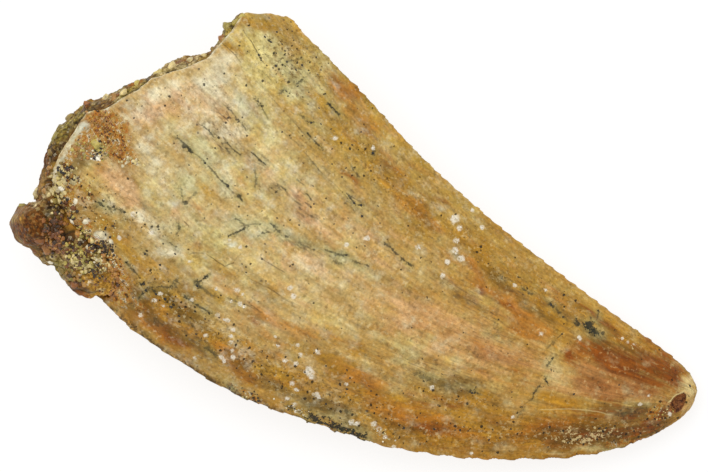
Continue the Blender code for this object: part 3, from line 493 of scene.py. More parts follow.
# Black mineral dots: pixels right and down, radius in pixels
blackDots = [
    (141, 113, 1.0), (142, 106, 1.4), (148, 131, 1.2), (155, 80, 1.2), (161, 95, 1.0), (165, 88, 1.2),
    (169, 73, 1.6), (199, 69, 1.6), (211, 61, 1.0), (213, 87, 1.0), (216, 91, 1.0), (217, 39, 2.6),
    (244, 13, 1.8), (248, 46, 1.0), (250, 347, 1.4), (251, 55, 1.0), (252, 18, 1.2), (259, 55, 2.6),
    (261, 58, 2.0), (262, 352, 1.4), (265, 37, 2.2), (265, 54, 1.4), (269, 18, 1.4), (271, 42, 2.6),
    (273, 68, 2.0), (276, 53, 1.8), (276, 66, 2.4), (276, 390, 1.4), (277, 32, 2.0), (282, 44, 1.8),
    (284, 20, 1.4), (285, 51, 1.8), (285, 66, 1.8), (286, 91, 2.0), (287, 62, 2.4), (288, 96, 1.6),
    (291, 22, 1.6), (292, 31, 1.6), (296, 70, 2.0), (297, 96, 1.2), (300, 318, 1.2), (302, 65, 2.2),
    (305, 371, 1.2), (307, 49, 1.2), (313, 43, 1.2), (314, 353, 1.8), (321, 70, 1.6), (326, 366, 1.6),
    (347, 370, 2.0), (350, 378, 2.0), (420, 225, 1.2), (420, 262, 1.0), (432, 238, 1.0), (478, 262, 1.2),
    (228, 118, 1.6), (238, 122, 1.6), (257, 117, 1.2), (282, 132, 1.8), (291, 138, 1.4), (215, 148, 1.6),
    (198, 133, 1.2), (209, 130, 1.6), (205, 163, 2.0), (189, 165, 1.4), (196, 175, 1.4), (212, 180, 1.2),
    (228, 186, 1.4), (247, 177, 1.6), (248, 194, 1.4), (232, 198, 1.2), (262, 211, 1.4), (277, 218, 1.8),
    (265, 244, 1.4), (266, 252, 1.4), (261, 255, 1.2), (262, 259, 1.8), (246, 267, 1.8), (242, 264, 1.4),
    (290, 266, 1.6), (266, 281, 1.4), (261, 281, 1.2), (332, 164, 1.6), (346, 168, 2.0), (342, 177, 1.6),
    (303, 163, 1.4), (313, 186, 1.6), (311, 207, 2.0), (314, 204, 1.6), (324, 219, 1.4), (334, 224, 1.6),
    (299, 225, 1.6), (290, 220, 1.8), (362, 216, 2.4), (348, 218, 1.4), (353, 233, 1.4), (380, 223, 1.4),
    (378, 206, 1.6), (352, 145, 2.0), (342, 147, 1.4), (332, 149, 1.6), (324, 140, 1.4), (323, 150, 1.4),
    (331, 129, 1.6), (334, 131, 1.4), (321, 124, 1.8), (319, 108, 1.6), (284, 111, 1.4), (308, 104, 1.4),
    (361, 132, 1.6), (368, 266, 1.6), (365, 246, 1.4), (346, 255, 1.6), (354, 203, 2.2), (361, 205, 2.4),
    (373, 153, 3.0), (311, 123, 1.8), (314, 122, 1.4), (112, 226, 1.4), (130, 227, 1.2), (128, 235, 1.2),
    (133, 237, 1.2), (111, 242, 1.6), (160, 232, 1.0), (163, 236, 1.2), (156, 247, 1.0), (175, 254, 2.2),
    (145, 254, 2.0), (160, 265, 2.2), (160, 269, 1.4), (157, 270, 1.0), (155, 279, 1.8), (144, 284, 2.2),
    (146, 290, 3.0), (156, 294, 2.6), (165, 299, 3.0), (171, 307, 3.0), (179, 316, 2.6), (205, 319, 1.6),
    (202, 327, 1.2), (196, 334, 1.8), (197, 286, 2.4), (551, 305, 2.2), (563, 317, 1.6), (562, 334, 1.6),
    (552, 359, 2.0), (551, 370, 1.2), (547, 382, 1.8), (574, 394, 2.2), (619, 385, 1.8), (633, 394, 1.4),
    (690, 386, 2.4), (548, 447, 1.6), (547, 452, 1.4), (648, 427, 1.4), (606, 428, 2.0), (600, 428, 2.0),
    (99, 116, 1.6), (106, 117, 2.0), (116, 115, 1.4), (134, 118, 1.8), (121, 135, 1.4), (123, 139, 1.4),
    (125, 147, 1.8), (127, 159, 1.6), (94, 178, 1.2), (90, 183, 1.2), (89, 193, 1.6), (84, 202, 1.4),
    (100, 205, 1.6), (46, 186, 1.6), (347, 389, 2.6), (369, 386, 1.4), (371, 391, 1.6), (340, 397, 1.8),
    (326, 404, 2.0), (367, 411, 2.8), (404, 428, 3.0), (434, 429, 2.2), (460, 430, 2.2), (468, 431, 1.8),
    (489, 440, 2.2), (420, 444, 1.6), (522, 407, 1.8), (512, 392, 1.4), (472, 393, 2.2), (476, 387, 1.6),
    (442, 374, 1.4), (438, 405, 1.6), (446, 410, 1.4), (417, 418, 1.6), (415, 386, 1.2), (402, 391, 1.2),
    (511, 429, 1.8), (500, 438, 1.6), (525, 457, 1.4),
]


def softStain(strokes, right, down):
    # one minus the product of what each stroke leaves bare
    bare = np.ones(len(right))
    for atRight, atDown, reachAlong, reachAcross, slope, strength in strokes:
        c, s = math.cos(math.radians(slope)), math.sin(math.radians(slope))
        along = (c * (right - atRight) + s * (down - atDown)) / reachAlong
        across = (-s * (right - atRight) + c * (down - atDown)) / reachAcross
        bare *= 1 - strength * np.exp(-1.1 * (along ** 2 + across ** 2))
    return 1 - bare


def fromLine(points, right, down):
    # signed distance in pixels from a line of points, and how far past its ends a place lies
    best, past = np.full(len(right), 1e6), np.zeros(len(right))
    for number, ((ax, ay), (bx, by)) in enumerate(zip(points, points[1:])):
        dx, dy = bx - ax, by - ay
        length = math.hypot(dx, dy)
        free = ((right - ax) * dx + (down - ay) * dy) / (length * length)
        t = np.clip(free, 0, 1)
        offRight, offDown = right - ax - t * dx, down - ay - t * dy
        distance = np.hypot(offRight, offDown)
        side = np.where(dx * offDown - dy * offRight < 0, -1.0, 1.0)
        closer = distance < np.abs(best)
        best[closer] = (distance * side)[closer]
        beyond = np.zeros(len(right))
        if number == 0:
            beyond = np.maximum(beyond, -free * length)
        if number == len(points) - 2:
            beyond = np.maximum(beyond, (free - 1) * length)
        past[closer] = beyond[closer]
    return best, past


def nearestLine(lines, right, down, fade):
    # for many (points, half width, strength): the nearest one's signed distance and half width, and its
    # strength, which fades past its ends, away from it, and where it would meet another from the wrong side
    off, half = np.full(len(right), 50.0), np.ones(len(right))
    strength, past, second = np.zeros(len(right)), np.zeros(len(right)), np.full(len(right), 60.0)
    for points, wide, strong in lines:
        distance, beyond = fromLine(points, right, down)
        closer = np.abs(distance) < np.abs(off)
        second = np.where(closer, off, np.where(np.abs(distance) < np.abs(second), distance, second))
        off[closer], past[closer] = distance[closer], beyond[closer]
        half[closer], strength[closer] = wide, strong
    strength *= (1 - step(half + fade, half + fade + 2.5, np.abs(off))) * (1 - step(0.2, 1.8, past))
    meets = (np.sign(off) != np.sign(second)) * (1 - step(1.5, 4.0, np.abs(second) - np.abs(off)))
    strength *= 1 - meets * step(half + 0.3, half + 1.3, np.abs(off))
    return off, half, strength


def insideShape(outline, right, down):
    # distance in pixels from a closed outline, above 0 inside it
    closed = outline + outline[:1]
    crossings = np.zeros(len(right), int)
    for (ax, ay), (bx, by) in zip(closed, closed[1:]):
        spans = (ay > down) != (by > down)
        crossings += spans & (right < ax + (down - ay) * (bx - ax) / (by - ay if by != ay else 1.0))
    return np.where(crossings % 2 == 1, 1.0, -1.0) * np.abs(fromLine(closed, right, down)[0])


def spotMask(spots, right, down):
    # 1 inside a spot, falling to 0 at one and a half times its radius
    found = np.zeros(len(right))
    for atRight, atDown, radius in spots:
        distance = np.hypot(right - atRight, down - atDown)
        found = np.maximum(found, np.clip(1.5 - distance / radius, 0, 1))
    return found


def bothFaces(strokes, right, down, wander, near, hiddenShare):
    # a soft stain on the near face and its fellow on the hidden one
    mask = softStain(strokes, right + wander[0], down + wander[1])
    farRight = tooth["hiddenRight"][0] - right * tooth["hiddenRight"][1]
    farDown = tooth["hiddenDown"][0] - down * tooth["hiddenDown"][1]
    hidden = softStain(strokes, farRight + wander[0], farDown + wander[1])
    return mask * near + hidden * (1 - near) * hiddenShare


def markTooth(piece):
    # gives each point of the tooth its stains, marks and its share of the way across, as attributes
    places = vertexPlaces(piece)
    normals = vertexNormals(piece)
    right, down = photoPlaces(places)
    near = step(-0.15, 0.25, normals[:, 2])
    wander = np.array([noiseAt(places, 0.9, 1), noiseAt(places, 0.9, 2)]) * tooth["wander"]
    lesser = {name: wander * share for name, share in tooth["wanderShare"].items()}
    for name, strokes in stains.items():
        keepAttribute(piece, name, bothFaces(strokes, right, down, wander, near, tooth["hiddenStains"]))
    for name, strokes in (("hatch", hatches), ("crust", crusts), ("speckle", speckles), ("flake", flakes)):
        mask = bothFaces(strokes, right, down, lesser["marks"], near, tooth["hiddenMarks"])
        keepAttribute(piece, name, mask)
    low = np.interp(places[:, 0], *np.array(tooth["mesialEdge"]).T)
    high = np.interp(places[:, 0], *np.array(tooth["distalEdge"]).T)
    across = np.clip((places[:, 1] - low) / np.maximum(0.3, high - low), 0, 1)
    keepAttribute(piece, "across", across)
    # lengthwise growth lines follow this: along, across in mm of a mean width, and through
    keepVector(piece, "flow", np.stack([places[:, 0], across * tooth["width"], places[:, 2] * 0.3], axis=1))
    moved = (right + lesser["lines"][0], down + lesser["lines"][1])
    off, half, strength = nearestLine(streaks, *moved, tooth["lineReach"])
    keepAttribute(piece, "streakOff", off * photo["mmPerPixel"])
    keepAttribute(piece, "streakHalf", half * photo["mmPerPixel"])
    keepAttribute(piece, "streakNear", strength * near)
    halo = np.zeros(len(right))
    for points, half, strength in streaks:
        reach = half * tooth["haloReach"][0] + tooth["haloReach"][1]
        halo = np.maximum(halo, strength * np.clip(1 - np.abs(fromLine(points, right, down)[0]) / reach, 0, 1))
    keepAttribute(piece, "halo", halo * near)
    moved = (right + lesser["hairlines"][0], down + lesser["hairlines"][1])
    # hairline cracks, and pale scratches with the painted highlight along the rim of the chip
    for name, lines in (("hairline", hairlines), ("paleScratchAndRimHighlight", paleScratchesAndRimHighlight)):
        thin = [(points, 0.25, strength) for points, strength in lines]
        off, _, strength = nearestLine(thin, *moved, tooth["thinReach"])
        keepAttribute(piece, name, off * photo["mmPerPixel"])
        keepAttribute(piece, name + "Near", strength * near)
    spots = spotMask(whiteSpots, right + lesser["spots"][0], down + lesser["spots"][1])
    keepAttribute(piece, "whiteSpot", spots * near)
    inChip = np.where(near > 0.5, insideShape(chip, right, down), -50.0)
    keepAttribute(piece, "chip", inChip * photo["mmPerPixel"])
    # wall of the break and the hollow
    keepAttribute(piece, "broken", step(0.35, 0.75, -normals[:, 0]) * step(*tooth["breakFrom"], places[:, 0]))


def wearEdge(piece):
    # the mesial edge is worn smooth towards the tip: its lobes are drawn out to one even line and then smoothed
    places = vertexPlaces(piece)
    mesial = np.array(tooth["mesialEdge"]).T
    slices = np.arange(*tooth["wornSlices"])
    beyond = np.array([places[np.abs(places[:, 0] - x) < 0.1, 1].min() for x in slices])
    beyond -= np.interp(slices, *mesial)
    line = np.array([beyond[max(0, i - 4):i + 5].min() for i in range(len(slices))])
    line = np.array([line[max(0, i - 5):i + 6].mean() for i in range(len(slices))])
    fromEdge = places[:, 1] - np.interp(places[:, 0], *mesial) - np.interp(places[:, 0], slices, beyond)
    worn = step(*tooth["wornFrom"], places[:, 0]) * (1 - step(*tooth["wornUntil"], places[:, 0]))
    worn *= 1 - step(0.0, tooth["wornReach"], fromEdge)
    places[:, 1] += np.interp(places[:, 0], slices, line - beyond) * worn
    moveVertices(piece, places)
    worn = step(*tooth["wornFrom"], places[:, 0]) * (1 - step(0.5, 0.9, fromEdge))
    group = piece.vertex_groups.new(name="wornEdge")
    for index in np.nonzero(worn > 0.01)[0]:
        group.add([int(index)], float(worn[index]), "REPLACE")
    modified(piece, "SMOOTH", factor=0.5, iterations=tooth["wornSmoothing"], vertex_group="wornEdge")
    piece.vertex_groups.clear()


def makeTooth():
    piece = copyOfNode("tooth", "toothCrown")
    editAll(piece)
    bpy.ops.mesh.select_all(action="DESELECT")
    bpy.ops.mesh.select_mode(type="EDGE")
    bpy.ops.mesh.edges_select_sharp(sharpness=math.radians(tooth["crispFrom"]))
    bpy.ops.transform.edge_crease(value=tooth["crisp"])
    bpy.ops.object.mode_set(mode="OBJECT")
    modified(piece, "SUBSURF", levels=2, render_levels=2)
    modified(piece, "REMESH", mode="VOXEL", voxel_size=tooth["voxel"], use_smooth_shade=True)
    modified(piece, "SMOOTH", factor=0.5, iterations=tooth["smoothing"])
    wearEdge(piece)
    places = vertexPlaces(piece)
    normals = vertexNormals(piece)
    right, down = photoPlaces(places)
    near = step(0.1, 0.4, normals[:, 2])
    rough = noiseAt(places, 5.0, 8, 4)
    lift = tooth["swell"] + tooth["roughness"] * rough
    lift += near * softStain(crusts, right, down) * tooth["crustRise"] * (0.2 + 1.2 * rough)
    lift -= near * tooth["chipDepth"] * step(-1.0, 5.0, insideShape(chip, right, down))
    moveVertices(piece, insideBox(places + normals * lift[:, None], 0.002))
    markTooth(piece)
    resized(piece, mm)
    print("tooth:", len(piece.data.polygons), "faces")
    return piece


under, over, result = 6, 7, 2    # sockets of a Mix node set to colour
noiseSpan = (0.3, 0.7)          # where nearly all of a noise lies


def addNode(material, kind, settings=None, inputs=None):
    # adds a node, sets its properties and its inputs; an input that is a socket is linked
    nodes = material.node_tree.nodes
    node = nodes.new("ShaderNode" + kind)
    for key, value in (settings or {}).items():
        setattr(node, key, value)
    for key, value in (inputs or {}).items():
        if isinstance(value, bpy.types.NodeSocket):
            material.node_tree.links.new(value, node.inputs[key])
        else:
            node.inputs[key].default_value = value
    return node


def fillRamp(ramp, tones):
    # sets the stops of a colour ramp to (position, hex) pairs
    stops = ramp.color_ramp.elements
    while len(stops) > 1:
        stops.remove(stops[-1])
    stops[0].position, stops[0].color = tones[0][0], linear(tones[0][1])
    for position, tint in tones[1:]:
        stops.new(position).color = linear(tint)


def newMaterial(name):
    material = bpy.data.materials.new(name)
    material.use_nodes = True
    return material, material.node_tree.nodes["Principled BSDF"]


def overlay(material, colour, pattern, span, most, where, tint, least=0.0, blend="SMOOTHSTEP"):
    # lays a tint over a colour where a pattern is high: none at the start of its span and most at the end, and
    # only in the share that a place has of it
    share = addNode(material, "MapRange", {"interpolation_type": blend}, {
        "Value": pattern, "From Min": span[0], "From Max": span[1], "To Min": least, "To Max": most})
    share = addNode(material, "Math", {"operation": "MULTIPLY"}, {0: share.outputs[0], 1: where})
    return addNode(material, "Mix", {"data_type": "RGBA"}, {
        0: share.outputs[0], under: colour, over: tint}).outputs[result]


def blotted(material, colour, rows, grounds, shift, detail, roughness, where=1.0):
    # lays small blots over a colour: rows of tint, features in a mm, drawn out along the growth lines or not,
    # noise where they start and are full, and the most of them
    for order, (tint, size, isDrawn, start, full, most) in enumerate(rows):
        ground, scale = grounds[isDrawn]
        offset = tuple(first + order * each for first, each in zip(*shift))
        shifted = addNode(material, "VectorMath", {"operation": "ADD"}, {0: ground, 1: offset})
        blot = addNode(material, "TexNoise", {}, {"Vector": shifted.outputs[0], "Scale": size * scale,
                                                  "Detail": detail, "Roughness": roughness})
        colour = overlay(material, colour, blot.outputs["Fac"], (start, full), most, where, linear(tint))
    return colour


def stained(material, colour, share, breakUp, much, span, tints, tintBy, spread):
    # lays a soft stain over a colour, its edge broken up by a noise, its two tints mixed by another
    dark, light, most = tints
    lift = addNode(material, "Math", {"operation": "MULTIPLY_ADD"}, {0: breakUp, 1: much, 2: -much / 2})
    edge = addNode(material, "Math", {"operation": "MULTIPLY_ADD"}, {0: share, 1: 1.25, 2: lift.outputs[0]})
    tint = addNode(material, "MapRange", {}, {"Value": tintBy, "From Min": spread[0], "From Max": spread[1]})
    tint = addNode(material, "Mix", {"data_type": "RGBA"}, {
        0: tint.outputs[0], under: linear(dark), over: linear(light)}).outputs[result]
    return overlay(material, colour, edge.outputs[0], span, most, 1.0, tint)


def shaded(material, colour, patterns):
    # lightens and darkens a colour: each pattern with its least and its most
    for pattern, low, high in patterns:
        tone = addNode(material, "MapRange", {}, {
            "Value": pattern, "From Min": noiseSpan[0], "From Max": noiseSpan[1],
            "To Min": low, "To Max": high})
        colour = addNode(material, "VectorMath", {"operation": "SCALE"}, {
            0: colour, "Scale": tone.outputs[0]}).outputs[0]
    return colour


def finished(material, shader, look, colour, wear, height, strength):
    # what the materials end with: colour, roughness that follows a noise, relief and the light thrown back
    rough = addNode(material, "MapRange", {}, {
        "Value": wear, "From Min": noiseSpan[0], "From Max": noiseSpan[1],
        "To Min": look["roughness"][0], "To Max": look["roughness"][1]})
    bump = addNode(material, "Bump", {}, {
        "Height": height, "Strength": strength, "Distance": look["relief"] * mm})
    links = material.node_tree.links
    links.new(colour, shader.inputs["Base Color"])
    links.new(rough.outputs[0], shader.inputs["Roughness"])
    links.new(bump.outputs["Normal"], shader.inputs["Normal"])
    shader.inputs["IOR"].default_value = look["ior"]
    shader.inputs["Specular IOR Level"].default_value = look["specular"]
    return material


# Fossil enamel over dentine, stained by iron and manganese in the ground and cleaned by hand. It gives the eye
# a soft satin shine with fine lengthwise lines, blots of cream, yellow, peach and ochre, greenish streaks and
# black dots.
enamel = {
    "ground": ("#b58c45", "#d2b678"),
    # blots: tint, features in a mm, drawn out along the growth lines or not, noise where they start and are
    # full, and the most of them
    "tints": [
        ("#d4c06a", 1.0, False, 0.50, 0.66, 0.30), ("#b9b486", 1.3, False, 0.52, 0.68, 0.28),
        ("#cc9a6a", 1.2, False, 0.52, 0.68, 0.25), ("#b08034", 1.9, False, 0.53, 0.68, 0.25),
        ("#8f6a30", 0.9, True, 0.55, 0.70, 0.30), ("#e6d8a8", 2.6, False, 0.54, 0.70, 0.25),
    ],
    # stain: its two tints and the most of it
    "stains": {
        "lemon": ("#c8b062", "#dfd08c", 0.8), "cream": ("#d9c08a", "#f0e4be", 0.85),
        "peach": ("#c28e5a", "#e0b283", 0.75), "haze": ("#a59c6a", "#cfc896", 0.7),
        "ochre": ("#946410", "#be8f2c", 0.9), "orange": ("#97560f", "#c17f28", 0.85),
        "umber": ("#3f2a0a", "#70500f", 0.8), "ridge": ("#8a5228", "#b17c50", 0.8),
        "rust": ("#6a2c06", "#965210", 0.92), "chalk": ("#b3b08c", "#e3e1c8", 0.85),
    },
    "drawnStains": ("peach", "ochre", "orange", "umber", "ridge", "rust"),    # along the growth lines
    # what the iron does to it all, from the root to the tip
    "glaze": ((1.04, 1.07, 1.1, 1), (0.98, 0.87, 0.6, 1)),
    "glazeAlong": (-4.0, 7.0),  # mm along the tooth
    # the dark tint below is painted shade in the notches of the mesial edge
    "notchShade": "#3b2a10",         # in the notches of the mesial edge
    # the belts below are partly stain and partly painted shade where the edges roll away from the light
    "stainAndShadeBelts": (("#95701c", "#bd993e"), ("#8d6214", "#bb8b2c")),    # beside the distal and the mesial edge
    # blots that lie over all of it, and crumbs where the specks lie thick
    "flecks": [("#efe2b8", 5.5, False, 0.57, 0.68, 0.25), ("#5c4216", 5.0, False, 0.56, 0.68, 0.35),
               ("#b87a30", 3.6, False, 0.57, 0.70, 0.15)],
    "crumbs": [("#3b270c", 8.0, False, 0.55, 0.63, 0.8), ("#ead9a6", 6.0, False, 0.59, 0.66, 0.6),
               ("#7b5a1c", 3.0, False, 0.52, 0.62, 0.5)],
    "halo": "#9c965e",
    "hatch": "#4c3a30",
    "streak": "#24261e",
    "crack": "#3a2b10",
    # the pale scratch tint is also the painted highlight on the rim of the chip
    "paleScratchAndRimHighlight": "#e6d394",
    "spot": "#f1e8d4",
    "flake": "#dcc288",
    "chip": ("#4f2d1d", "#b4733f"),
    "dot": "#17150e",
    "crust": [(0.0, "#241a0c"), (0.12, "#5b3a14"), (0.26, "#a8621a"), (0.38, "#c08230"), (0.5, "#8a6624"),
              (0.62, "#cfae64"), (0.74, "#a0662a"), (0.88, "#e6d9b4"), (1.0, "#4a3a20")],
    "dentine": [(0.3, "#7c5a2a"), (0.42, "#b08f58"), (0.5, "#cdbb8e"), (0.6, "#dcd6b8"), (0.72, "#b39a66")],
    # noises: features in a mm, detail and roughness; the sugar-like grain of the surface is 0.105 mm wide
    "noises": {
        "ground": (0.45, 5.0, 0.6), "mottle": (2.4, 6.0, 0.68), "torn": (4.4, 4.0, 0.6),
        "dabs": (5.5, 4.0, 0.7), "shreds": (7.5, 3.0, 0.6), "sugar": (1 / 0.105, 2.0, 0.6),
        "ragged": (10.0, 2.0, 0.6), "dust": (11.0, 2.0, 0.6),
    },
    # noises drawn out along the growth lines: features in a mm along and across them, and detail; the lines are
    # 0.154 mm apart
    "drawnNoises": {"lines": (0.5, 1 / 0.154, 4.0), "bands": (0.2, 1.1, 5.0), "scratches": (2.6, 15.0, 1.0)},
    "hairWidth": 0.008,         # mm, half the width of hairlines and scratches
    # manganese dots: mm between them, how often they come where there are no specks and where they lie thick,
    # and the biggest radius as a share of the spacing
    "dots": [(0.42, 0.30, 0.85, 0.13), (0.23, 0.06, 0.75, 0.17)],
    "crystal": 0.09,            # mm, grains of the crust
    "roughness": (0.34, 0.58),
    "relief": 0.035,            # mm
    "ior": 1.5,
    "specular": 0.15,           # worn and weathered, so duller than fresh enamel
}


def enamelMaterial():
    material, shader = newMaterial("stainedFossilEnamel")
    place = addNode(material, "TexCoord").outputs["Object"]
    flow = addNode(material, "Attribute", {"attribute_name": "flow"}).outputs["Vector"]
    marks = ["across", "streakOff", "streakHalf", "streakNear", "halo", "hatch", "crust", "flake", "speckle",
             "hairline", "hairlineNear", "paleScratchAndRimHighlight", "paleScratchAndRimHighlightNear", "whiteSpot", "chip", "broken"]
    share = {name: addNode(material, "Attribute", {"attribute_name": name}).outputs["Fac"]
             for name in list(enamel["stains"]) + marks}
    grained = {}
    for name, (scale, detail, roughness) in enamel["noises"].items():
        grained[name] = addNode(material, "TexNoise", {}, {
            "Vector": place, "Scale": scale * perMm, "Detail": detail, "Roughness": roughness})
    mottle, sugar, dabs = (grained[name].outputs["Fac"] for name in ("mottle", "sugar", "dabs"))
    drawn = {}
    for name, (along, across, detail) in enamel["drawnNoises"].items():
        drawnOut = addNode(material, "VectorMath", {"operation": "MULTIPLY"}, {
            0: flow, 1: (along, across, 1.0)})
        drawn[name] = addNode(material, "TexNoise", {}, {"Vector": drawnOut.outputs[0], "Scale": 1.0,
                                                         "Detail": detail, "Roughness": 0.62}).outputs["Fac"]
    ground = addNode(material, "MapRange", {}, {"Value": grained["ground"].outputs["Fac"], "From Min": 0.34,
                                                "From Max": 0.66})
    dark, light = (linear(tint) for tint in enamel["ground"])
    colour = addNode(material, "Mix", {"data_type": "RGBA"}, {
        0: ground.outputs[0], under: dark, over: light}).outputs[result]
    # small blots of many tints
    drawnOut = addNode(material, "VectorMath", {"operation": "MULTIPLY"}, {0: flow, 1: (0.3, 2.2, 1.0)})
    grounds = {False: (place, perMm), True: (drawnOut.outputs[0], 1.0)}
    colour = blotted(material, colour, enamel["tints"], grounds, ((0, 0, 0), (3.7, 3.7, 3.7)), 2.5, 0.5)
    # belts of ochre beside the two cutting edges, broken up along them: partly stain, partly painted shade
    # where the edges roll away from the light
    brokenUp = addNode(material, "MapRange", {}, {"Value": drawn["bands"], "From Min": 0.3, "From Max": 0.6,
                                                  "To Min": 0.55})
    for (dark, light), span in zip(enamel["stainAndShadeBelts"], ((0.60, 0.92), (0.30, 0.05))):
        tint = addNode(material, "Mix", {"data_type": "RGBA"}, {
            0: mottle, under: linear(dark), over: linear(light)}).outputs[result]
        colour = overlay(material, colour, share["across"], span, 0.92, brokenUp.outputs[0], tint)
    # soft stains, each broken up by its own noise; some cream, peach and lemon ones are partly painted
    # highlight
    for order, (name, tints) in enumerate(enamel["stains"].items()):
        isDrawn = name in enamel["drawnStains"]
        shifted = addNode(material, "VectorMath", {"operation": "MULTIPLY_ADD"}, {
            0: flow if isDrawn else place, 1: (0.9, 2.6, 1.0) if isDrawn else (1.6 * perMm,) * 3,
            2: (7.0 * order,) * 3})
        breakUp = addNode(material, "TexNoise", {}, {"Vector": shifted.outputs[0], "Scale": 1.0, "Detail": 4.0,
                                                     "Roughness": 0.62}).outputs["Fac"]
        colour = stained(material, colour, share[name], breakUp, 2.2, (0.02, 1.05), tints, breakUp,
                         (0.38, 0.62))
    colour = blotted(material, colour, enamel["flecks"], grounds, ((0.05, 0, 0.02), (0, 0.01, 0)), 3.0, 0.6)
    # growth lines and grain
    colour = shaded(material, colour, ((drawn["lines"], 0.79, 1.19), (drawn["bands"], 0.92, 1.07),
                                       (mottle, 0.9, 1.09), (sugar, 0.8, 1.18)))
    # the iron deepens towards the tip
    along = addNode(material, "SeparateXYZ", {}, {"Vector": flow}).outputs["X"]
    deep = addNode(material, "MapRange", {}, {"Value": along, "From Min": enamel["glazeAlong"][0],
                                              "From Max": enamel["glazeAlong"][1]})
    glaze = addNode(material, "Mix", {"data_type": "RGBA"}, {
        0: deep.outputs[0], under: enamel["glaze"][0], over: enamel["glaze"][1]}).outputs[result]
    colour = addNode(material, "VectorMath", {"operation": "MULTIPLY"}, {0: colour, 1: glaze}).outputs[0]
    # patches of painted shade in the notches of the mesial edge, up to where the edge is worn smooth
    notch = addNode(material, "MapRange", {}, {"Value": share["across"], "From Min": 0.02, "From Max": 0.004})
    start = addNode(material, "MapRange", {}, {"Value": along, "From Min": 3.0, "From Max": -1.0,
                                               "To Min": 0.25})
    notch = addNode(material, "Math", {"operation": "MULTIPLY"}, {0: notch.outputs[0], 1: start.outputs[0]})
    colour = overlay(material, colour, dabs, (0.42, 0.56), 0.85, notch.outputs[0], linear(enamel["notchShade"]),
                     blend="LINEAR")
    colour = blotted(material, colour, enamel["crumbs"], grounds, ((0.02, 0, 0.07), (0, 0.03, 0)), 3.0, 0.65,
                     share["speckle"])
    # short dark scratches, greenish halos of the dark lines, and a dust of fine dark dots in the halos
    for pattern, span, least, most, where, tint in (
            (drawn["scratches"], (0.55, 0.63), 0.0, 0.85, "hatch", enamel["hatch"]),
            (mottle, (0.35, 0.6), 0.15, 0.6, "halo", enamel["halo"]),
            (grained["dust"].outputs["Fac"], (0.57, 0.66), 0.0, 0.9, "halo", enamel["streak"])):
        colour = overlay(material, colour, pattern, span, most, share[where], linear(tint), least, "LINEAR")
    # the thin black cores of the dark lines, as beads, then hairline cracks and pale scratches, one of them a
    # painted highlight along the rim of the chip
    beads = addNode(material, "MapRange", {}, {"Value": dabs, "From Min": 0.38, "From Max": 0.62,
                                               "To Min": -0.6, "To Max": 1.6})
    half = addNode(material, "Math", {"operation": "MULTIPLY"}, {0: share["streakHalf"], 1: beads.outputs[0]})
    wobble = addNode(material, "Math", {"operation": "MULTIPLY_ADD"}, {0: mottle, 1: 0.12, 2: -0.06})
    gaps = addNode(material, "MapRange", {}, {"Value": mottle, "From Min": 0.38, "From Max": 0.55,
                                              "To Min": 0.3})
    cores = {}
    for name, near, halfWidth, softness, whole, tint, most in (
            ("streakOff", "streakNear", half.outputs[0], 0.042, 1.0, enamel["streak"], 0.92),
            ("hairline", "hairlineNear", enamel["hairWidth"], 0.028, gaps.outputs[0], enamel["crack"], 0.8),
            ("paleScratchAndRimHighlight", "paleScratchAndRimHighlightNear", enamel["hairWidth"], 0.028, 1.0, enamel["paleScratchAndRimHighlight"], 0.75)):
        off = addNode(material, "Math", {"operation": "ADD"}, {0: share[name], 1: wobble.outputs[0]})
        off = addNode(material, "Math", {"operation": "ABSOLUTE"}, {0: off.outputs[0]})
        off = addNode(material, "Math", {"operation": "SUBTRACT"}, {0: off.outputs[0], 1: halfWidth})
        core = addNode(material, "MapRange", {"interpolation_type": "SMOOTHSTEP"}, {
            "Value": off.outputs[0], "From Min": softness, "From Max": -0.3 * softness, "To Max": most})
        for factor in (share[near], whole):
            core = addNode(material, "Math", {"operation": "MULTIPLY", "use_clamp": True}, {
                0: core.outputs[0], 1: factor})
        cores[name] = core.outputs[0]
        colour = addNode(material, "Mix", {"data_type": "RGBA"}, {
            0: core.outputs[0], under: colour, over: linear(tint)}).outputs[result]
    # pale beds under the mineral spots, ragged at the edge
    ragged = addNode(material, "Math", {"operation": "MULTIPLY_ADD"}, {0: dabs, 1: 1.6, 2: -0.8}).outputs[0]
    bed = addNode(material, "Math", {"operation": "MULTIPLY_ADD"}, {0: sugar, 1: 0.8, 2: ragged})
    bed = addNode(material, "Math", {"operation": "ADD"}, {0: share["whiteSpot"], 1: bed.outputs[0]})
    colour = overlay(material, colour, bed.outputs[0], (0.7, 1.45), 0.85, 1.0, linear(enamel["spot"]))
    # flakes of a thin skin
    flakePart = addNode(material, "Math", {"operation": "MULTIPLY_ADD"}, {
        0: share["flake"], 1: 0.24, 2: grained["shreds"].outputs["Fac"]})
    flakePart = addNode(material, "MapRange", {"interpolation_type": "SMOOTHSTEP"}, {
        "Value": flakePart.outputs[0], "From Min": 0.765, "From Max": 0.80, "To Max": 0.75})
    colour = addNode(material, "Mix", {"data_type": "RGBA"}, {
        0: flakePart.outputs[0], under: colour, over: linear(enamel["flake"])}).outputs[result]
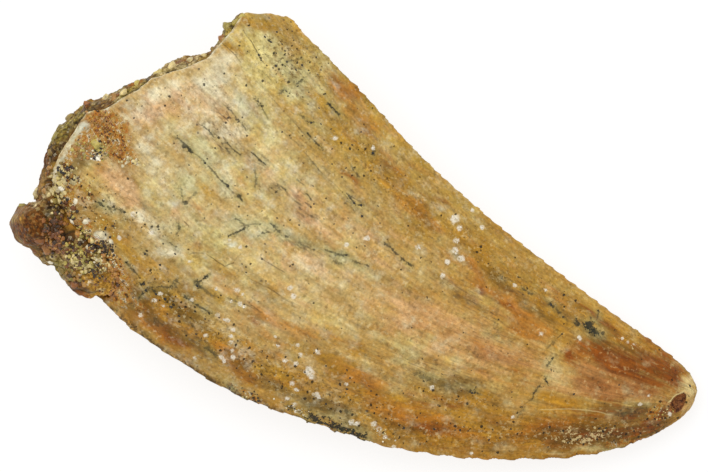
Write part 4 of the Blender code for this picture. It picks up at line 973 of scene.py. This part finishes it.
    # sandy crust, each of its grains of one tint, less of it where the enamel is chalky
    crystals = addNode(material, "TexVoronoi", {}, {"Vector": place, "Scale": perMm / enamel["crystal"]})
    crystalTone = addNode(material, "SeparateColor", {}, {"Color": crystals.outputs["Color"]})
    crumble = addNode(material, "MapRange", {}, {
        "Value": grained["torn"].outputs["Fac"], "From Min": noiseSpan[0], "From Max": noiseSpan[1],
        "To Min": -0.15, "To Max": 0.75})
    crumble = addNode(material, "Math", {"operation": "MULTIPLY_ADD", "use_clamp": True}, {
        0: crystalTone.outputs[0], 1: 0.45, 2: crumble.outputs[0]})
    ramp = addNode(material, "ValToRGB", {}, {"Fac": crumble.outputs[0]})
    fillRamp(ramp, enamel["crust"])
    edge = addNode(material, "Math", {"operation": "MULTIPLY_ADD"}, {0: share["crust"], 1: 1.3, 2: ragged})
    edge = addNode(material, "Math", {"operation": "SUBTRACT"}, {0: edge.outputs[0], 1: share["chalk"]})
    crustPart = addNode(material, "MapRange", {"interpolation_type": "SMOOTHSTEP"}, {
        "Value": edge.outputs[0], "From Min": 0.25, "From Max": 0.7, "To Max": 0.88})
    colour = addNode(material, "Mix", {"data_type": "RGBA"}, {
        0: crustPart.outputs[0], under: colour, over: ramp.outputs["Color"]}).outputs[result]
    # manganese dots of two sizes on the plan of the tooth, ragged, and thicker where the specks are
    around = addNode(material, "VectorMath", {"operation": "MULTIPLY_ADD"}, {
        0: grained["ragged"].outputs["Color"], 1: (0.11 * mm,) * 3, 2: place})
    for spacing, fewest, oftenest, biggest in enamel["dots"]:
        cells = addNode(material, "TexVoronoi", {"voronoi_dimensions": "2D"}, {
            "Vector": around.outputs[0], "Scale": perMm / spacing, "Randomness": 0.95})
        cellTone = addNode(material, "SeparateColor", {}, {"Color": cells.outputs["Color"]})
        often = addNode(material, "MapRange", {}, {"Value": share["speckle"], "To Min": 1 - fewest,
                                                   "To Max": 1 - oftenest})
        radius = addNode(material, "Math", {"operation": "SUBTRACT"}, {
            0: cellTone.outputs[0], 1: often.outputs[0]})
        radius = addNode(material, "MapRange", {}, {
            "Value": radius.outputs[0], "From Max": 0.4, "To Max": biggest})
        inside = addNode(material, "Math", {"operation": "SUBTRACT"}, {
            0: radius.outputs[0], 1: cells.outputs["Distance"]})
        colour = overlay(material, colour, inside.outputs[0], (0.0, 0.03), 0.85, 1.0, linear(enamel["dot"]),
                         blend="LINEAR")
    # the chip at the tip is down to brown dentine
    tint = addNode(material, "MapRange", {}, {"Value": dabs, "From Min": 0.42, "From Max": 0.62})
    tint = addNode(material, "Mix", {"data_type": "RGBA"}, {
        0: tint.outputs[0], under: linear(enamel["chip"][0]), over: linear(enamel["chip"][1])}).outputs[result]
    inChip = addNode(material, "Math", {"operation": "ADD"}, {0: share["chip"], 1: wobble.outputs[0]})
    colour = overlay(material, colour, inChip.outputs[0], (-0.01, 0.02), 1.0, 1.0, tint, blend="LINEAR")
    # the broken wall shows dentine, mottled from brown to pale
    wall = addNode(material, "ValToRGB", {}, {"Fac": mottle})
    fillRamp(wall, enamel["dentine"])
    wall = shaded(material, wall.outputs["Color"], ((sugar, 0.75, 1.2), (dabs, 0.7, 1.25)))
    colour = addNode(material, "Mix", {"data_type": "RGBA"}, {
        0: share["broken"], under: colour, over: wall}).outputs[result]
    # relief: growth lines, sugar grain, shallow pits, cracks, crust and flakes
    height = sugar
    for part, much in ((drawn["lines"], 0.8), (mottle, 1.6), (cores["hairline"], -1.0),
                       (crustPart.outputs[0], 1.2), (flakePart.outputs[0], 0.8)):
        height = addNode(material, "Math", {"operation": "MULTIPLY_ADD"}, {
            0: part, 1: much, 2: height}).outputs[0]
    return finished(material, shader, enamel, colour, mottle, height, 0.55)


sand = {
    "voxel": 0.07,              # mm
    "smoothing": 2,
    "lumpSpacing": (0.28, 0.8),   # mm between the middles of grains
    "lumpTries": 6000,
    "lumpRise": 0.15,           # mm
    "gap": 0.22,                # width of the dark gaps, as a share of the spacing
    "goldenSink": 0.12,         # mm, the fine golden sand lies lower
    "wander": 6.0,              # pixels by which noise moves the stains about
    "seed": 11,
}
# The large smooth grain at the corner of the break: pixels right and down, radius in pixels, and its rise in mm
bigGrain = (29, 226, 19, 0.14)
# Soft stains of the sand: pixels right, pixels down, reach along, reach across, slope in degrees, strength
sandStains = {
    "olive": [
        (56, 136, 20, 10, -50, 1.0), (80, 112, 20, 9, -45, 0.8), (16, 212, 8, 7, 0, 1.0),
        (230, 30, 14, 12, -40, 1.0), (64, 272, 12, 9, 30, 0.9), (125, 94, 24, 7, -30, 0.7),
        (47, 172, 6, 12, 80, 0.5), (140, 86, 16, 6, -30, 0.6), (172, 70, 30, 6, -18, 0.6),
        (80, 262, 14, 10, 20, 0.5),
    ],
    "rusty": [
        (28, 225, 18, 18, 0, 1.0), (46, 246, 12, 8, 40, 1.0), (45, 165, 16, 7, 80, 1.0),
        (50, 148, 14, 7, -60, 0.7), (76, 285, 9, 6, 10, 1.0), (87, 104, 6, 7, 0, 0.9),
        (110, 106, 12, 5, -20, 0.6), (36, 238, 12, 8, 40, 0.6), (243, 16, 5, 6, 0, 0.8),
        (135, 92, 12, 4, -30, 0.5), (60, 232, 14, 14, 0, 0.5), (34, 222, 14, 12, 0, 1.0),
    ],
    "golden": [
        (104, 284, 20, 9, 40, 1.0), (112, 272, 8, 12, 80, 1.0), (92, 280, 10, 8, 30, 0.7),
        (100, 292, 12, 6, 40, 1.0), (18, 212, 6, 5, 0, 0.7),
    ],
    "dark": [
        (54, 210, 10, 8, 20, 0.9), (62, 240, 10, 14, 10, 0.8), (58, 152, 14, 4, -55, 0.9),
        (84, 118, 22, 4, -38, 0.9), (92, 268, 14, 10, 20, 0.8), (48, 186, 6, 8, 0, 0.7),
        (150, 82, 40, 3, -25, 0.7), (50, 226, 8, 12, 0, 0.5),
    ],
    "pale": [
        (37, 194, 6, 9, 70, 1.0), (108, 98, 10, 6, -10, 0.7), (188, 61, 30, 5, -15, 0.7),
        (51, 262, 4, 4, 0, 1.0), (160, 74, 16, 4, -25, 0.5), (72, 258, 14, 10, 20, 0.7),
        (44, 190, 6, 5, 0, 0.4), (222, 40, 6, 10, -50, 0.4),
    ],
}


def grainMiddles(places, spacing, seed, tries):
    # middles and spacings of grains scattered over places, none closer to another than their mean spacing
    rng = random.Random(seed)
    order = list(range(len(places)))
    rng.shuffle(order)
    middles, radii, grid = [], [], {}
    for index in order[:tries]:
        place = places[index]
        key = tuple(int(math.floor(v / spacing[1])) for v in place)
        radius = rng.uniform(*spacing)
        beside = [other for dx in (-1, 0, 1) for dy in (-1, 0, 1) for dz in (-1, 0, 1)
                  for other in grid.get((key[0] + dx, key[1] + dy, key[2] + dz), ())]
        if all(np.linalg.norm(middles[other] - place) >= 0.5 * (radius + radii[other]) for other in beside):
            grid.setdefault(key, []).append(len(middles))
            middles.append(place)
            radii.append(radius)
    return middles, radii


def lumps(places):
    # nearest grain of each place: distance as a share of its spacing, gap to the next one, the grain's number
    middles, radii = grainMiddles(places, sand["lumpSpacing"], sand["seed"], sand["lumpTries"])
    tree = KDTree(len(middles))
    for number, place in enumerate(middles):
        tree.insert(Vector(place), number)
    tree.balance()
    near, gap, owner = np.empty(len(places)), np.empty(len(places)), np.empty(len(places), int)
    for i, place in enumerate(places):
        first, second = sorted((far / radii[n], n) for _, n, far in tree.find_n(Vector(place), 4))[:2]
        near[i], owner[i] = first
        gap[i] = second[0] - first[0]
    return near, gap, owner


def makeSand():
    piece = copyOfNode("sand_matrix", "cementedSand")
    modified(piece, "REMESH", mode="VOXEL", voxel_size=sand["voxel"], use_smooth_shade=True)
    modified(piece, "SMOOTH", factor=0.5, iterations=sand["smoothing"])
    places = vertexPlaces(piece)
    normals = vertexNormals(piece)
    near, gap, owner = lumps(places)
    rise = np.sqrt(np.clip(1.2 - near ** 2, 0, 1)) - 0.7
    rise += 0.35 * noiseAt(places, 2.2, 22, 2) + 0.35 * noiseAt(places, 6.0, 21, 4)
    right, down = photoPlaces(places)
    level = step(0.1, 0.6, normals[:, 2])
    atRight, atDown, radius, bossRise = bigGrain
    offGrain = np.hypot(right - atRight, down - atDown) / radius
    boss = np.where(normals[:, 2] > -0.2, np.sqrt(np.clip(1 - offGrain ** 2, 0, 1)), 0)
    golden = softStain(sandStains["golden"], right, down)
    lift = rise * sand["lumpRise"] * (1 - 0.6 * step(0.1, 0.5, boss)) * (1 - 0.5 * golden) + boss * bossRise
    lift -= sand["goldenSink"] * golden * level
    places = insideBox(places + normals * lift[:, None], 0.002)
    moveVertices(piece, places)
    # each grain's own tone from 0 to 1
    tones = np.random.default_rng(sand["seed"]).random(int(owner.max()) + 1)
    keepAttribute(piece, "tone", tones[owner])
    dark = (1 - step(0.0, sand["gap"], gap)) * (1 - 0.9 * golden) * (1 - step(0.1, 0.4, boss))
    keepAttribute(piece, "gap", dark)
    keepAttribute(piece, "level", level)
    right, down = photoPlaces(places)
    # on steep faces the stains are broken up more, so that they don't run down as bands
    wander = np.array([noiseAt(places, 0.9, 31), noiseAt(places, 0.9, 32)]) * sand["wander"]
    wander *= 1 + 3 * (1 - level)
    for name, strokes in sandStains.items():
        keepAttribute(piece, name, softStain(strokes, right + wander[0], down + wander[1]))
    resized(piece, mm)
    print("sand:", len(piece.data.polygons), "faces")
    return piece


# Cemented sand: quartz grains in an iron and clay cement, broken by hand. It gives the eye rounded glassy lumps
# of olive, brown and orange with dark gaps between them, and a sugary grain close up.
sandLook = {
    "tones": [(0.0, "#543712"), (0.2, "#84581c"), (0.4, "#8a7132"), (0.6, "#9a6c22"), (0.75, "#745a24"),
              (0.88, "#9a5a18"), (1.0, "#ab8c48")],
    # stain: its two tints and the most of it
    "stains": {"olive": ("#6c5d1e", "#a39344", 0.85), "rusty": ("#3c1a02", "#74400b", 0.94),
               "dark": ("#1a120a", "#41301a", 0.9), "pale": ("#a08648", "#dccb9c", 0.75),
               "golden": ("#96661a", "#c4963e", 0.95)},
    "gap": "#2a1c0c",
    "fine": [(0.0, "#2b1d0c"), (0.25, "#7c5722"), (0.5, "#9a8347"), (0.75, "#c4ad74"), (1.0, "#e6dbbd")],
    "crystal": 0.12,            # mm, fine grains
    "roughness": (0.32, 0.66),
    "relief": 0.05,             # mm
    "ior": 1.54,
    "specular": 0.1,
}


def sandMaterial():
    material, shader = newMaterial("cementedQuartzSand")
    place = addNode(material, "TexCoord").outputs["Object"]
    share = {name: addNode(material, "Attribute", {"attribute_name": name}).outputs["Fac"]
             for name in list(sandLook["stains"]) + ["tone", "gap", "level"]}
    ramp = addNode(material, "ValToRGB", {}, {"Fac": share["tone"]})
    fillRamp(ramp, sandLook["tones"])
    colour = ramp.outputs["Color"]
    mottle = addNode(material, "TexNoise", {}, {"Vector": place, "Scale": 3.0 * perMm, "Detail": 6.0,
                                                "Roughness": 0.72}).outputs["Fac"]
    fine = addNode(material, "TexNoise", {}, {"Vector": place, "Scale": 9.0 * perMm, "Detail": 3.0,
                                              "Roughness": 0.65}).outputs["Fac"]
    for name, tints in sandLook["stains"].items():
        colour = stained(material, colour, share[name], mottle, 1.6, (0.05, 1.0), tints, fine, (0.35, 0.65))
    # single fine grains, here and there of their own tint, fewer on steep faces and in the rusty part
    crystals = addNode(material, "TexVoronoi", {}, {"Vector": place, "Scale": perMm / sandLook["crystal"]})
    crystalTone = addNode(material, "SeparateColor", {}, {"Color": crystals.outputs["Color"]})
    ramp = addNode(material, "ValToRGB", {}, {"Fac": crystalTone.outputs[0]})
    fillRamp(ramp, sandLook["fine"])
    fewer = addNode(material, "Math", {"operation": "MULTIPLY_ADD"}, {0: share["rusty"], 1: -0.7, 2: 1.0})
    fewer = addNode(material, "Math", {"operation": "MULTIPLY"}, {0: fewer.outputs[0], 1: share["level"]})
    colour = overlay(material, colour, crystalTone.outputs[1], (0.5, 1.0), 0.7, fewer.outputs[0],
                     ramp.outputs["Color"], blend="LINEAR")
    # dark gaps between the grains
    colour = overlay(material, colour, share["level"], (0.0, 1.0), 0.8, share["gap"], linear(sandLook["gap"]),
                     0.45, "LINEAR")
    colour = shaded(material, colour, ((mottle, 0.5, 1.42), (fine, 0.55, 1.42)))
    height = addNode(material, "Math", {"operation": "MULTIPLY_ADD"}, {
        0: crystals.outputs["Distance"], 1: -0.6, 2: mottle})
    strength = addNode(material, "MapRange", {}, {"Value": share["level"], "To Min": 0.2, "To Max": 0.5})
    return finished(material, shader, sandLook, colour, mottle, height.outputs[0], strength.outputs[0])


def grainMaterial(name, look):
    # loose grains, each of its own tone, with a fine mottle
    material, shader = newMaterial(name)
    place = addNode(material, "TexCoord").outputs["Object"]
    tone = addNode(material, "Attribute", {"attribute_name": "tone"}).outputs["Fac"]
    ramp = addNode(material, "ValToRGB", {}, {"Fac": tone})
    fillRamp(ramp, look["tones"])
    fine = addNode(material, "TexNoise", {}, {"Vector": place, "Scale": 6.0 * perMm, "Detail": 4.0,
                                              "Roughness": 0.7}).outputs["Fac"]
    colour = shaded(material, ramp.outputs["Color"], [(fine, *look["mottle"])])
    return finished(material, shader, look, colour, fine, fine, 0.5)


# Random numbers of each piece, and the shapes that its grains are copied from: how rough, and a number for each
seeds = {"mineralSpots": 5, "manganeseDots": 6, "matrixGrains": 7}
grainShapes = {"pebble": (0.35, (3, 4, 9)), "crumb": (0.9, (13, 21, 34))}


def pebble(name, seed, roughness):
    # one irregular pebble of 80 faces and radius 1, copied by setDown
    bpy.ops.object.select_all(action="DESELECT")
    bpy.ops.mesh.primitive_ico_sphere_add(subdivisions=2, radius=1)
    piece = bpy.context.object
    piece.name = name
    bpy.ops.object.mode_set(mode="EDIT")
    bpy.ops.mesh.select_all(action="SELECT")
    bpy.ops.transform.vertex_random(offset=roughness, uniform=0.3, normal=0.6, seed=seed)
    bpy.ops.mesh.vertices_smooth(factor=0.4)
    bpy.ops.mesh.normals_make_consistent(inside=False)
    bpy.ops.object.mode_set(mode="OBJECT")
    bpy.ops.object.shade_smooth()
    return piece


def surfaceUnder(tree, right, down):
    # the first place on the part that the camera sees at a pixel, and its normal
    start, way = sightLine(right, down)
    hit, normal, _, _ = tree.ray_cast(start, way)
    return hit, normal


def treeOf(pieces):
    # ray-casting tree of pieces, in millimetres
    corners, faces = [], []
    for piece in pieces:
        first = len(corners)
        corners += [Vector(place) for place in vertexPlaces(piece) * perMm]
        faces += [[first + v for v in polygon.vertices] for polygon in piece.data.polygons]
    return BVHTree.FromPolygons(corners, faces)


def setDown(name, pebbles, places):
    # joins copies of the pebbles, one at each (place, normal, (long, wide, high), spin, tone), in millimetres
    copies = []
    for number, (place, normal, sizes, spin, tone) in enumerate(places):
        mesh = pebbles[number % len(pebbles)].data.copy()
        turn = normal.to_track_quat("Z", "Y").to_matrix().to_4x4() @ Matrix.Rotation(spin, 4, "Z")
        mesh.transform(Matrix.Translation(place) @ turn @ Matrix.Diagonal((*sizes, 1)))
        made = mesh.attributes.new("tone", "FLOAT", "POINT")
        made.data.foreach_set("value", [tone] * len(mesh.vertices))
        piece = bpy.data.objects.new(name, mesh)
        bpy.context.scene.collection.objects.link(piece)
        copies.append(piece)
    bpy.ops.object.select_all(action="DESELECT")
    for piece in copies:
        piece.select_set(True)
    bpy.context.view_layer.objects.active = copies[0]
    bpy.ops.object.join()
    joined = bpy.context.object
    moveVertices(joined, insideBox(vertexPlaces(joined), 0.001))
    resized(joined, mm)
    print(name + ":", len(places), "pieces,", len(joined.data.polygons), "faces")
    return joined


def makeWhiteSpots(tree, pebbles):
    # each white spot is two or three thin lobes in a row
    rng = random.Random(seeds["mineralSpots"])
    places = []
    for right, down, radius in whiteSpots:
        angle = rng.uniform(0, 2 * math.pi)
        for part in range(rng.choice((2, 2, 3))):
            reach = radius * (0.25, -0.4, 0.75)[part]
            size = radius * photo["mmPerPixel"] * rng.uniform(0.25, 0.5)
            sizes = (size, size * rng.uniform(0.5, 0.9), size * 0.1)
            spin, tone = rng.uniform(0, 6), rng.random()
            hit, normal = surfaceUnder(tree, right + reach * math.cos(angle), down + reach * math.sin(angle))
            if hit is not None:
                places.append((hit, normal, sizes, spin, tone))
    return setDown("mineralSpots", pebbles, places)


def makeBlackDots(tree, pebbles):
    # each black dot is one low pebble
    rng = random.Random(seeds["manganeseDots"])
    places = []
    for right, down, radius in blackDots:
        size = radius * photo["mmPerPixel"] * 0.66
        sizes = (size, size * rng.uniform(0.5, 0.95), min(size * 0.35, 0.02))
        spin, tone = rng.uniform(0, 6), rng.random()
        hit, normal = surfaceUnder(tree, right, down)
        if hit is not None:
            places.append((hit, normal, sizes, spin, tone))
    return setDown("manganeseDots", pebbles, places)


# Grains of the matrix that lie on the enamel and at the corner of the break: pixels right and down, radius in
# pixels, longer by, slope in degrees, tone from dark 0 to white 1
bigGrains = [
    (15, 211, 5.0, 1.2, 20, 0.42), (22, 206, 4.0, 1.3, 10, 0.40), (47, 248, 7.0, 1.3, 40, 0.24),
    (40, 240, 5.5, 1.2, 60, 0.20), (51, 262, 2.8, 1.3, 20, 0.90), (62, 270, 5.0, 1.2, 30, 0.36),
    (75, 284, 5.0, 1.2, 10, 0.20), (66, 276, 4.0, 1.1, 60, 0.34), (84, 284, 3.4, 1.2, 10, 0.30),
    (72, 219, 5.4, 1.7, 50, 0.9), (86, 221, 4.2, 1.1, 0, 0.86), (101, 234, 4.8, 1.2, 30, 0.80),
    (111, 241, 3.0, 1.3, 20, 0.86), (62, 188, 4.0, 1.1, 60, 0.92), (56, 180, 3.6, 1.2, 80, 0.74),
    (73, 181, 5.0, 1.2, 10, 0.72), (76, 201, 2.8, 2.0, 75, 0.88), (96, 144, 6.0, 1.1, 40, 0.50),
    (98, 158, 3.6, 1.2, 60, 0.95), (37, 194, 5.0, 1.5, 75, 0.72), (45, 190, 3.6, 1.2, 30, 0.30),
    (87, 104, 3.4, 1.6, 80, 0.22), (106, 99, 5.0, 1.4, -20, 0.66), (54, 136, 7.0, 1.2, -50, 0.40),
    (60, 128, 6.0, 1.2, -40, 0.38), (51, 152, 4.0, 1.3, -70, 0.34), (50, 168, 3.0, 1.4, 80, 0.3),
    (70, 118, 6.0, 1.2, -40, 0.36), (228, 27, 5.4, 1.5, -40, 0.42), (236, 22, 4.0, 1.3, -20, 0.45),
    (242, 16, 3.2, 1.3, 0, 0.5), (222, 38, 4.0, 1.3, -60, 0.24), (214, 50, 4.0, 1.3, -60, 0.34),
    (190, 62, 5.6, 1.6, -15, 0.66), (172, 67, 5.0, 1.5, -15, 0.62), (158, 73, 4.6, 1.5, -25, 0.56),
    (138, 84, 4.6, 1.4, -35, 0.5), (124, 94, 4.4, 1.4, -30, 0.60), (114, 98, 4.0, 1.4, -10, 0.3),
    (88, 247, 3.6, 1.2, 10, 0.8), (204, 56, 3.4, 1.2, -10, 0.64), (34, 250, 3.4, 1.2, 30, 0.2),
    (26, 242, 3.4, 1.2, 30, 0.18),
]
# Clumps of fine grains: pixels right and down, reach along and across, slope, count, smallest and largest
# radius, tones to choose from
clumps = [
    (80, 262, 13, 8, 20, 90, 1.4, 3.2, (0.42, 0.5, 0.56, 0.6, 0.64, 0.1)),
    (80, 250, 14, 8, 20, 70, 1.2, 3.0, (0.06, 0.12, 0.28, 0.36, 0.42, 0.5)),
    (104, 248, 12, 8, 40, 110, 0.7, 1.9, (0.0, 0.02, 0.03, 0.05, 0.08, 0.36)),
    (99, 259, 8, 5, 20, 70, 0.7, 1.7, (0.54, 0.6, 0.66, 0.86)),
    (112, 262, 7, 8, 50, 60, 0.6, 1.5, (0.6, 0.7, 0.9, 0.04, 0.02)),
    (96, 270, 11, 7, 30, 90, 0.7, 1.8, (0.0, 0.03, 0.05, 0.1, 0.34, 0.38)),
    (106, 264, 8, 9, 40, 40, 0.8, 1.8, (0.6, 0.7, 0.8, 0.1, 0.28)),
    (112, 280, 6, 12, 80, 24, 0.8, 1.8, (0.1, 0.22, 0.28, 0.3)),
    (100, 290, 14, 5, 40, 20, 0.8, 1.8, (0.12, 0.22, 0.28)),
    (86, 236, 8, 8, 45, 50, 0.9, 2.2, (0.06, 0.2, 0.28, 0.36, 0.42, 0.6)),
    (60, 186, 8, 14, 0, 60, 1.8, 4.0, (0.1, 0.36, 0.56, 0.62, 0.68, 0.74)),
    (66, 172, 9, 9, 0, 60, 1.0, 2.8, (0.0, 0.04, 0.1, 0.34, 0.6)),
    (62, 206, 12, 9, 30, 70, 1.0, 2.8, (0.02, 0.06, 0.1, 0.16, 0.34, 0.6)),
    (56, 226, 10, 14, 20, 80, 1.4, 3.6, (0.06, 0.1, 0.14, 0.18, 0.22)),
    (56, 246, 12, 8, 40, 60, 1.4, 3.4, (0.06, 0.14, 0.18, 0.22, 0.28)),
    (70, 274, 12, 8, 30, 60, 1.4, 3.4, (0.1, 0.16, 0.3, 0.34, 0.38)),
    (84, 150, 16, 12, 30, 50, 1.0, 2.4, (0.22, 0.26, 0.28, 0.3, 0.42, 0.5)),
    (98, 152, 9, 9, 80, 30, 0.9, 2.2, (0.02, 0.1, 0.42, 0.5, 0.8)),
    (100, 122, 14, 12, 30, 50, 1.0, 2.2, (0.2, 0.24, 0.26, 0.28, 0.3)),
    (118, 148, 12, 10, 60, 44, 0.9, 2.0, (0.18, 0.24, 0.28, 0.3)),
    (130, 160, 10, 6, 0, 24, 1.0, 2.2, (0.6, 0.66, 0.8)),
    (90, 196, 12, 12, 0, 18, 0.7, 1.6, (0.02, 0.2, 0.5, 0.6, 0.8)),
    (108, 226, 16, 12, 20, 24, 0.7, 1.6, (0.02, 0.06, 0.5, 0.6)),
    (334, 427, 34, 6, 22, 60, 0.6, 1.5, (0.0, 0.02, 0.04, 0.06, 0.3)),
    (298, 411, 16, 4, 24, 40, 0.6, 1.5, (0.06, 0.34, 0.68, 0.86)),
    (334, 434, 30, 3, 22, 40, 0.6, 1.4, (0.72, 0.86, 0.34, 0.06)),
    (382, 434, 14, 8, 40, 24, 0.6, 1.4, (0.3, 0.62, 0.86)),
    (97, 157, 5, 4, 0, 34, 0.6, 1.4, (0.0, 0.03, 0.06, 0.9, 1.0)),
    (100, 147, 7, 6, 40, 40, 0.8, 1.9, (0.44, 0.5, 0.54, 0.36)),
    (89, 150, 9, 6, 30, 40, 0.7, 1.7, (0.24, 0.28, 0.26, 0.3)),
    (106, 124, 14, 10, 40, 60, 0.7, 1.6, (0.18, 0.24, 0.28, 0.3)),
    (108, 133, 12, 12, 60, 40, 0.6, 1.3, (0.1, 0.16, 0.28, 0.6)),
    (76, 180, 5, 4, 0, 30, 0.8, 1.8, (0.72, 0.86, 0.6, 0.08)),
    (250, 396, 20, 5, 30, 24, 0.8, 1.8, (0.02, 0.06, 0.3, 0.6)),
    (640, 441, 4, 3, 0, 14, 1.6, 2.8, (0.2, 0.24, 0.28)),
    (664, 414, 12, 4, -38, 18, 0.7, 1.6, (0.22, 0.28, 0.5, 0.6)),
]
# Grains packed along the seam between sand and enamel: the ends of each length of it in pixels, and the tones
seam = [
    ((69, 213), (79, 229), (0.06, 0.12, 0.3, 0.5)), ((79, 229), (90, 242), (0.1, 0.28, 0.42, 0.6)),
    ((90, 242), (102, 256), (0.02, 0.06, 0.36, 0.6)), ((102, 256), (112, 267), (0.05, 0.26, 0.3, 0.6)),
    ((112, 267), (117, 280), (0.24, 0.28, 0.3, 0.34)), ((117, 280), (115, 291), (0.24, 0.28, 0.3, 0.1)),
    ((115, 291), (108, 300), (0.24, 0.28, 0.3)),
]
seamCount = 26                  # grains in each length


def makeGrains(tree, pebbles):
    # the grains along the seam, the large ones and the clumps
    rng = random.Random(seeds["matrixGrains"])
    places = []
    for (right0, down0), (right1, down1), tones in seam:
        for part in range(seamCount):
            along = part / seamCount
            right = right0 + along * (right1 - right0) + rng.gauss(0, 1.6)
            down = down0 + along * (down1 - down0) + rng.gauss(0, 1.6)
            size = rng.uniform(1.6, 3.4) * photo["mmPerPixel"]
            sizes = (size, size * rng.uniform(0.6, 1), size * 0.6)
            spin, tone = rng.uniform(0, 6), rng.choice(tones)
            hit, normal = surfaceUnder(tree, right, down)
            if hit is not None:
                level = (normal + Vector((0, 0, 2))).normalized()
                places.append((hit, level, sizes, spin, tone))
    for right, down, radius, longer, slope, tone in bigGrains:
        hit, normal = surfaceUnder(tree, right, down)
        if hit is None:
            continue
        size = radius * photo["mmPerPixel"]
        level = (normal + Vector((0, 0, 1.5))).normalized()
        # the picture's slope on the surface: turned by the picture's own turn
        spin = photo["turn"] - math.radians(slope)
        places.append((hit - level * size * 0.35, level, (size * longer, size, size * 0.8), spin, tone))
    for right, down, along, across, slope, count, smallest, largest, tones in clumps:
        c, s = math.cos(math.radians(slope)), math.sin(math.radians(slope))
        for _ in range(count):
            a, b = rng.gauss(0, 0.5) * along, rng.gauss(0, 0.5) * across
            size = rng.uniform(smallest, largest) * photo["mmPerPixel"]
            sizes = (size, size * rng.uniform(0.6, 1), size * rng.uniform(0.3, 0.55))
            spin, tone = rng.uniform(0, 6), rng.choice(tones) + rng.uniform(-0.02, 0.02)
            hit, normal = surfaceUnder(tree, right + c * a - s * b, down + s * a + c * b)
            if hit is not None:
                places.append((hit, normal, sizes, spin, tone))
    return setDown("matrixGrains", pebbles, places)


# Loose quartz and iron-stained grains stuck to the tooth: glassy where broken, dull where crusted.
grainLook = {
    "tones": [(0.0, "#1e1810"), (0.08, "#452d12"), (0.16, "#6a3b12"), (0.22, "#8f571f"), (0.28, "#b07d36"),
              (0.33, "#86682c"), (0.4, "#8b7c34"), (0.5, "#b8a54f"), (0.6, "#d2bd7e"), (0.72, "#b8a672"),
              (0.86, "#dfd4b4"), (1.0, "#f6efdc")],
    "mottle": (0.55, 1.5),
    "roughness": (0.25, 0.5),
    "relief": 0.04, "ior": 1.54, "specular": 0.5,
}
# White calcite or gypsum crust: dull, chalky and slightly warm.
spotLook = {
    "tones": [(0.0, "#d0ba8c"), (0.4, "#e2d2b0"), (1.0, "#f7f0e0")],
    "mottle": (0.75, 1.12),
    "roughness": (0.5, 0.75),
    "relief": 0.04, "ior": 1.54, "specular": 0.5,
}
# Manganese oxide: near black with a dull shine.
dotLook = {
    "tones": [(0.0, "#14120e"), (1.0, "#2a2419")],
    "mottle": (0.7, 1.3),
    "roughness": (0.4, 0.6),
    "relief": 0.04, "ior": 1.54, "specular": 0.5,
}

stage = {
    "floor": "#8a8988",         # its board is lit from within as well, so that shadows stay faint
    "floorSize": 0.6,           # m
    "floorRoughness": 0.9,
    "glow": 0.78,
    "sky": 0.74,
    "key": 0.36,                # W, soft light from the upper left of the picture
    "keyPlace": (-0.14, 0.08, 0.24),
    "keySize": 0.24,
}


def makeStage():
    bpy.ops.object.select_all(action="DESELECT")
    bpy.ops.mesh.primitive_plane_add(size=stage["floorSize"], location=(0, 0, -0.01 * mm))
    floor = bpy.context.object
    floor.name = "paleFloor"
    material, shader = newMaterial("paintedBoard")
    shader.inputs["Base Color"].default_value = linear(stage["floor"])
    shader.inputs["Roughness"].default_value = stage["floorRoughness"]
    shader.inputs["Emission Color"].default_value = (1, 1, 1, 1)
    shader.inputs["Emission Strength"].default_value = stage["glow"]
    floor.data.materials.append(material)
    world = bpy.data.worlds.new("paleRoom")
    world.use_nodes = True
    world.node_tree.nodes["Background"].inputs["Color"].default_value = (1, 1, 1, 1)
    world.node_tree.nodes["Background"].inputs["Strength"].default_value = stage["sky"]
    bpy.context.scene.world = world
    bpy.ops.object.light_add(type="AREA", location=stage["keyPlace"])
    key = bpy.context.object
    key.data.energy = stage["key"]
    key.data.size = stage["keySize"]
    key.rotation_euler = (-Vector(stage["keyPlace"])).to_track_quat("-Z", "Y").to_euler()
    bpy.ops.object.camera_add()
    camera = bpy.context.object
    camera.location = (photo["middlePlace"][0] * mm, photo["middlePlace"][1] * mm, photo["cameraHeight"] * mm)
    camera.rotation_euler = (0, 0, photo["turn"])
    away = photo["cameraHeight"] - photo["edgeHeight"]
    camera.data.lens = photo["sensor"] * away / (photo["frame"][0] * photo["mmPerPixel"])
    camera.data.clip_start = 0.01
    bpy.context.scene.camera = camera
    bpy.context.scene.view_settings.view_transform = "Standard"
    print("stage: floor, light and camera")


makeStage()
toothCrown = makeTooth()
toothCrown.data.materials.append(enamelMaterial())
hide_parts("tooth")
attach(toothCrown, "root")
cementedSand = makeSand()
cementedSand.data.materials.append(sandMaterial())
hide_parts("sand_matrix")
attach(cementedSand, "root")
surface = treeOf([toothCrown, cementedSand])
pebbles, crumbs = ([pebble(name + letter, seed, roughness) for letter, seed in zip("ABC", shapeSeeds)]
                   for name, (roughness, shapeSeeds) in grainShapes.items())
spots = makeWhiteSpots(surface, crumbs)
spots.data.materials.append(grainMaterial("whiteMineralCrust", spotLook))
dots = makeBlackDots(surface, pebbles)
dots.data.materials.append(grainMaterial("manganeseOxide", dotLook))
grains = makeGrains(surface, pebbles)
grains.data.materials.append(grainMaterial("looseQuartzGrains", grainLook))
for piece in (spots, dots, grains):
    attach(piece, "root")
for piece in pebbles + crumbs:
    bpy.data.objects.remove(piece)
